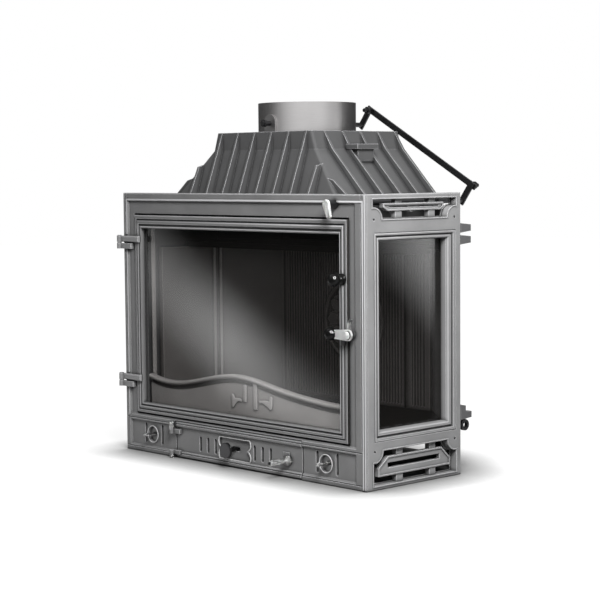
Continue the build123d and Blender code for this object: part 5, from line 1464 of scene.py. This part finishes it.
petals = petal_ring("outer petals", 57 * MM, 12, 42 * MM, 24 * MM, 4.5 * MM, 0.6 * MM)
petals += petal_ring("inner petals", 28 * MM, 8, 30 * MM, 18 * MM, 5.5 * MM, 1.6 * MM)
boss = turned_mesh("flower boss", FLOWER, FORWARD,
                   [(-2, 0), (-2, 13), (1.5, 13), (3.4, 11.6), (5.2, 8.6), (6.4, 4.6), (6.8, 0)],
                   lining_iron)
set_in_place("flower boss", boss, "insert_body")
flower_rim = turned_mesh("flower rim", FLOWER, FORWARD,
                         [(-4, 80), (-1.0, 80.4), (1.6, 82), (2.4, 84.5), (1.6, 87), (-1.0, 88.4),
                          (-4, 88.8), (-4, 80)], lining_iron, 96)
set_in_place("flower rim", flower_rim, "insert_body")
print("petals:", petals)

# %% [markdown]
# ## Strips at the lining's corners
#
# The smooth linings are edged with raised upright strips where they meet the
# door, the slanting lining and the reeded one, and a dark joint runs beside the
# last reed. The strips at the door, the corner and the slant are painted paler
# than the lining: a painted highlight. Each strip is a plate on a wall: it
# starts at a point of the plan and lies along the way that the wall runs.


# %% Lining strips
def upright_strip(name, start, along, width, low, high, rise, finish):
    """A rounded upright bar on a wall. start is a plan point, along the way the wall runs."""
    way = Vector(along).normalized()
    facing = Vector((way.y, -way.x))
    mesh = plate_mesh(name, [(0, low), (width, low), (width, high), (0, high)],
                      lambda u, v, height: Vector((*(Vector(start) + way * u
                                                     + facing * height * MM), v)),
                      -0.5, rise, 1.2 * MM, finish)
    set_in_place(name, mesh, "insert_body")
    return mesh


left_low, left_high = corners("left_lining")
strip_low, strip_high = left_low.z + 2 * MM, left_high.z - 2 * MM
corner_in_plan = (left_high.x, left_high.y + 3 * MM)
SLANT_WAY = (70.0, 140.0)
DOOR_STRIP_Y, DOOR_STRIP_TOP = -152 * MM, 472 * MM
strip_list = [
    upright_strip("door side strip", (left_low.x + 8 * MM, DOOR_STRIP_Y), (0, 1), 10 * MM,
                  strip_low, DOOR_STRIP_TOP, 3.0, highlighted_strip_iron),
    upright_strip("corner strip", (left_high.x, left_high.y - 16 * MM), (0, 1), 7 * MM,
                  strip_low, strip_high, 4.0, highlighted_strip_iron),
    upright_strip("slant strip", corner_in_plan, SLANT_WAY, 6 * MM, strip_low, strip_high, 3.0,
                  highlighted_strip_iron),
    upright_strip("rear edge strip", (rear_low.x + 1 * MM, rear_low.y), (1, 0), 6 * MM,
                  strip_low, strip_high, 3.0, lining_iron),
    upright_strip("lining joint", (rear_high.x - 2 * MM, rear_low.y), (1, 0), 5 * MM,
                  strip_low, strip_high, 1.5, soot_and_shade_iron),
]
print("strips:", len(strip_list))

# %% [markdown]
# ## Painted shadow beside the door
#
# Along the door's closing edge a narrow black line is painted on the front frame:
# a painted shadow of the gap round the door. A very thin strip, 0.15 mm proud of
# the frame, carries the black finish there.

# %% Painted gap shadow
GAP_SHADOW_START, GAP_SHADOW_END = 0.6 * MM, 3.6 * MM
gap_shadow_outline = [(door_high.x + u, v) for u, v in (
    (GAP_SHADOW_START, door_low.z), (GAP_SHADOW_END, door_low.z), (GAP_SHADOW_END, door_high.z),
    (GAP_SHADOW_START, door_high.z))]


def on_frame_face(u, v, height):
    """A point at a height in front of the front frame's face."""
    return Vector((u, FRONT - height * MM, v))


gap_shadow_strip = plate_mesh("door seat edge", gap_shadow_outline, on_frame_face, -0.4, 0.15, 0.05 * MM,
                       soot_and_shade_iron)
set_in_place("door seat edge", gap_shadow_strip, "insert_body")
print("door seat edge:", len(gap_shadow_strip.polygons), "faces")

# %% [markdown]
# ## Surroundings
#
# A pale studio is white where the camera, a reflection or a view through glass
# looks past the insert, but sheds only a little light of its own, so that the
# lamps decide how the castings look. The Light Path node tells the two apart:
# it says what kind of ray is asking.


# %% White surroundings
def seen_directly(tree):
    """1 for rays from the camera, from gloss and through glass, else 0."""
    path = add(tree, "ShaderNodeLightPath")
    total = maths(tree, "ADD", path.outputs["Is Camera Ray"], path.outputs["Is Glossy Ray"])
    return maths(tree, "ADD", total, path.outputs["Is Transmission Ray"], clamp=True)


SURROUND_LIGHT = 0.15
world = bpy.data.worlds.new("studio")
bpy.context.scene.world = world
world.use_nodes = True
sky = world.node_tree
sky.nodes.clear()
white = add(sky, "ShaderNodeBackground", {"Color": (1, 1, 1, 1), "Strength": 1.0})
dim = add(sky, "ShaderNodeBackground", {"Color": (1, 1, 1, 1), "Strength": SURROUND_LIGHT})
choose = add(sky, "ShaderNodeMixShader")
join(sky, seen_directly(sky), choose.inputs["Fac"])
join(sky, dim.outputs[0], choose.inputs[1])
join(sky, white.outputs[0], choose.inputs[2])
join(sky, choose.outputs[0], add(sky, "ShaderNodeOutputWorld").inputs["Surface"])
print("surroundings shed", SURROUND_LIGHT, "of white")

# %% [markdown]
# ## Floor
#
# The floor glows for the same rays, a little more strongly away from the insert,
# and so runs out into white. Where the insert covers the floor from the sky, by
# the Ambient Occlusion node, the glow fades, which keeps a soft shadow along its
# foot. Under the glow the floor is a plain grey that the lamps light. It lies
# half a millimetre low, so that no face of the insert lies in its plane.

# %% Floor
FLOOR_HALF = 9.0
GLOW_NEAR, GLOW_FAR = 0.88, 1.0
GLOW_START, GLOW_END = 0.45, 0.8
SHADOW_REACH, SHADOW_DEPTH = 0.12, 3.2
FLOOR_DROP = 0.0005
floor_mesh = bpy.data.meshes.new("floor")
floor_mesh.from_pydata([(x * FLOOR_HALF, y * FLOOR_HALF, -FLOOR_DROP)
                        for x, y in ((-1, -1), (1, -1), (1, 1), (-1, 1))],
                       [], [(0, 1, 2, 3)])
floor = bpy.data.objects.new("floor", floor_mesh)
bpy.context.scene.collection.objects.link(floor)
floor_paint, tree, shader = new_material("floor paint", Base_Color=(0.16, 0.16, 0.16, 1.0),
                                         Roughness=0.9, Specular_IOR_Level=0.0,
                                         Emission_Color=(1, 1, 1, 1))
floor_place = add(tree, "ShaderNodeTexCoord")
distance = add(tree, "ShaderNodeVectorMath", operation="LENGTH")
join(tree, floor_place.outputs["Object"], distance.inputs[0])
reach = add(tree, "ShaderNodeMapRange", {"From Min": GLOW_START, "From Max": GLOW_END,
                                         "To Min": GLOW_NEAR, "To Max": GLOW_FAR},
            interpolation_type="SMOOTHSTEP")
join(tree, distance.outputs["Value"], reach.inputs["Value"])
cover = add(tree, "ShaderNodeAmbientOcclusion", {"Distance": SHADOW_REACH}, samples=16)
uncovered = maths(tree, "POWER", cover.outputs["AO"], SHADOW_DEPTH)
glow = maths(tree, "MULTIPLY", reach.outputs["Result"], uncovered)
join(tree, maths(tree, "MULTIPLY", seen_directly(tree), glow),
     shader.inputs["Emission Strength"])
floor_mesh.materials.append(floor_paint)
print("floor is", 2 * FLOOR_HALF, "m square")

# %% [markdown]
# ## Lamps
#
# One large key lamp stands high on the right and near, so that its light falls
# off towards the left of the front and the foot of the side. A weak one hangs
# overhead. Four helpers reach chosen pieces alone, as a photographer's flags
# would let them: two light the linings and the guard behind the dark glass, and
# two put a highlight on the black balls and on the bright steel, in gloss only.
# Light linking does this: a lamp lights just the objects in its collection.


# %% Lamps
def softbox(name, place, target, width, height, power, in_gloss=True):
    """A soft rectangular lamp at place, turned to target."""
    data = bpy.data.lights.new(name, "AREA")
    data.shape = "RECTANGLE"
    data.size, data.size_y, data.energy = width, height, power
    lamp = bpy.data.objects.new(name, data)
    bpy.context.scene.collection.objects.link(lamp)
    lamp.location = place
    lamp.rotation_euler = (Vector(target) - Vector(place)).to_track_quat("-Z", "Y").to_euler()
    lamp.visible_camera = False
    lamp.visible_glossy = in_gloss
    return lamp


def light_only(lamp, names):
    """Let a lamp reach just the named pieces, as a flag in front of it would."""
    group = bpy.data.collections.new(lamp.name + " receivers")
    for name in names:
        group.objects.link(bpy.data.objects[name])
    lamp.light_linking.receiver_collection = group


def pieces_in(*finishes):
    """The names of the pieces whose first finish is one of these."""
    return [o.name for o in bpy.data.objects if o.type == "MESH" and o.data.materials
            and o.data.materials[0] in finishes]


print("lamp tools ready")


# %% Key, top and chosen lamps
MIDDLE = (0.1, -0.1, 0.35)
KEY_PLACE = (1.35, -0.95, 1.45)
softbox("key lamp", KEY_PLACE, MIDDLE, 0.6, 0.8, 68, in_gloss=False)
softbox("top lamp", (-0.2, 0.2, 2.4), MIDDLE, 1.8, 1.8, 14, in_gloss=False)
inner_lamp = softbox("inner lamp", (0.55, -0.6, 0.55), (0.15, -0.15, 0.15), 0.3, 0.3, 7.5,
                     in_gloss=False)
pane_lamp = softbox("pane lamp", (1.5, 0.0, 1.0), (0.0, 0.1, 0.3), 0.5, 0.5, 14,
                    in_gloss=False)
ball_lamp = softbox("ball lamp", KEY_PLACE, MIDDLE, 1.2, 1.2, 560)
glint_lamp = softbox("glint lamp", KEY_PLACE, MIDDLE, 0.6, 0.8, 40)
ball_lamp.visible_diffuse = glint_lamp.visible_diffuse = False
inside = pieces_in(lining_iron, highlighted_strip_iron, guard_iron, relief_iron)
light_only(inner_lamp, inside)
light_only(pane_lamp, inside)
light_only(ball_lamp, pieces_in(black_gloss))
light_only(glint_lamp, pieces_in(bright_steel, satin_steel))
print("pieces inside:", len(inside), "black:", pieces_in(black_gloss))

# %% [markdown]
# ## Studio drape
#
# Polished and rough metal alike show what stands round them. A drape hangs round
# the insert, dark behind it and lightest towards the photographer, so the round
# collar is bright in the middle and dark at its flanks. It is a ring that only
# glows, is seen by gloss alone and casts no shadow.


# %% Drape
def only_in_gloss(name, mesh):
    """Sets up a studio piece that shows in reflections and nowhere else."""
    obj = bpy.data.objects.new(name, mesh)
    bpy.context.scene.collection.objects.link(obj)
    obj.visible_camera = obj.visible_diffuse = obj.visible_shadow = False
    obj.visible_transmission = obj.visible_volume_scatter = False


def glow_material(name):
    """An empty material that only glows, and its tree, place node and strength socket."""
    material = bpy.data.materials.new(name)
    material.use_nodes = True
    tree = material.node_tree
    tree.nodes.clear()
    glow = add(tree, "ShaderNodeEmission")
    join(tree, glow.outputs[0], add(tree, "ShaderNodeOutputMaterial").inputs["Surface"])
    return material, tree, add(tree, "ShaderNodeTexCoord"), glow.inputs["Strength"]


DRAPE_RADIUS = 2.3
DRAPE_TOP = 2.2
DRAPE_LIGHT, DRAPE_DARK = 1.6, 0.06


def drape():
    """An upright ring, lightest in the direction of the camera."""
    towards = math.atan2(CAMERA_PLACE.y, CAMERA_PLACE.x)
    points = []
    steps = 40
    for step in range(steps + 1):
        angle = towards + 2 * math.pi * step / steps
        for z in (0.0, DRAPE_TOP):
            points.append((DRAPE_RADIUS * math.cos(angle), DRAPE_RADIUS * math.sin(angle), z))
    faces = [[2 * step, 2 * step + 2, 2 * step + 3, 2 * step + 1] for step in range(steps)]
    mesh = bpy.data.meshes.new("drape")
    mesh.from_pydata(points, [], faces)
    material, tree, place, strength = glow_material("drape glow")
    facing = add(tree, "ShaderNodeVectorMath", operation="DOT_PRODUCT")
    join(tree, place.outputs["Object"], facing.inputs[0])
    facing.inputs[1].default_value = (math.cos(towards) / DRAPE_RADIUS,
                                      math.sin(towards) / DRAPE_RADIUS, 0)
    fade = add(tree, "ShaderNodeMapRange", {"From Min": -0.2, "From Max": 1.35,
                                            "To Min": DRAPE_DARK, "To Max": DRAPE_LIGHT},
               interpolation_type="SMOOTHSTEP")
    join(tree, facing.outputs["Value"], fade.inputs["Value"])
    join(tree, fade.outputs["Result"], strength)
    mesh.materials.append(material)
    only_in_gloss("drape", mesh)


drape()
print("drape:", 2 * DRAPE_RADIUS, "m across")

# %% [markdown]
# ## Cards
#
# Two cards stand nearer. The front one carries one broad slanting glow, which
# the front pane reflects as a band, and the side one a glow high up. A dark mat
# lies on the floor beside the side pane, so that its foot doesn't mirror the
# white floor. On each the glow is measured along and across a slanting line.
# The mat's line lies far above it, so the mat stays evenly dark.


# %% Cards
SECOND_RAMP, RAMP_LENGTH = 0.45, 0.5


def card(name, corner_points, axis, ends, half, base, gains):
    """A flat card with one soft glow along a slanting line.

    ends is (u, v, u, v) of the line on the card, where u is x or y and v is z,
    and gains are the strengths at its start, middle and end."""
    mesh = bpy.data.meshes.new(name)
    mesh.from_pydata(corner_points, [], [(0, 1, 2, 3)])
    material, tree, place, strength = glow_material(name + " glow")
    u, v, u1, v1 = ends
    length = math.hypot(u1 - u, v1 - v)
    along_line = [0, 0, (v1 - v) / length ** 2]
    along_line[axis] = (u1 - u) / length ** 2
    across_line = [0, 0, (u1 - u) / length]
    across_line[axis] = -(v1 - v) / length
    measured = []
    for direction in (along_line, across_line):
        dot = add(tree, "ShaderNodeVectorMath", operation="DOT_PRODUCT")
        join(tree, place.outputs["Object"], dot.inputs[0])
        dot.inputs[1].default_value = direction
        start = u * direction[axis] + v * direction[2]
        measured.append(maths(tree, "SUBTRACT", dot.outputs["Value"], start))
    gain = 1.0
    for start, first, last in ((0.0, gains[0], gains[1]),
                               (SECOND_RAMP, 1.0, gains[2] / gains[1])):
        ramp = add(tree, "ShaderNodeMapRange",
                   {"From Min": start, "From Max": start + RAMP_LENGTH,
                    "To Min": first, "To Max": last})
        join(tree, measured[0], ramp.inputs["Value"])
        gain = maths(tree, "MULTIPLY", ramp.outputs["Result"], gain)
    near = add(tree, "ShaderNodeMapRange", {"From Min": 0.0, "From Max": 2 * half,
                                            "To Min": 1.0, "To Max": 0.0},
               interpolation_type="SMOOTHSTEP")
    join(tree, maths(tree, "ABSOLUTE", measured[1], 0.0), near.inputs["Value"])
    lit = maths(tree, "MULTIPLY", gain, near.outputs["Result"])
    join(tree, maths(tree, "ADD", lit, base), strength)
    mesh.materials.append(material)
    only_in_gloss(name, mesh)


FRONT_CARD_Y = -0.66
SIDE_CARD_X = 1.1
MAT_HEIGHT = 0.003
card("front card", [(-1.6, FRONT_CARD_Y, 0.0), (1.4, FRONT_CARD_Y, 0.0),
                    (1.4, FRONT_CARD_Y, 0.58), (-1.6, FRONT_CARD_Y, 0.58)],
     0, (-0.80, 0.30, -0.32, 0.02), 0.080, 0.03, (1.6, 3.4, 1.4))
card("side card", [(SIDE_CARD_X, 0.4, 0.0), (SIDE_CARD_X, 1.15, 0.0),
                   (SIDE_CARD_X, 1.15, 0.75), (SIDE_CARD_X, 0.4, 0.75)],
     1, (0.72, 0.52, 0.98, 0.26), 0.10, 0.04, (2.2, 3.6, 3.6))
card("floor mat", [(0.42, 0.1, MAT_HEIGHT), (1.1, 0.1, MAT_HEIGHT),
                   (1.1, 1.2, MAT_HEIGHT), (0.42, 1.2, MAT_HEIGHT)],
     0, (0, 5, 1, 5), 0.1, 0.03, (0.1, 0.1, 0.1))
print("cards at y =", FRONT_CARD_Y, "and x =", SIDE_CARD_X)

# %% [markdown]
# ## End

# %% End
print("scene dressed")
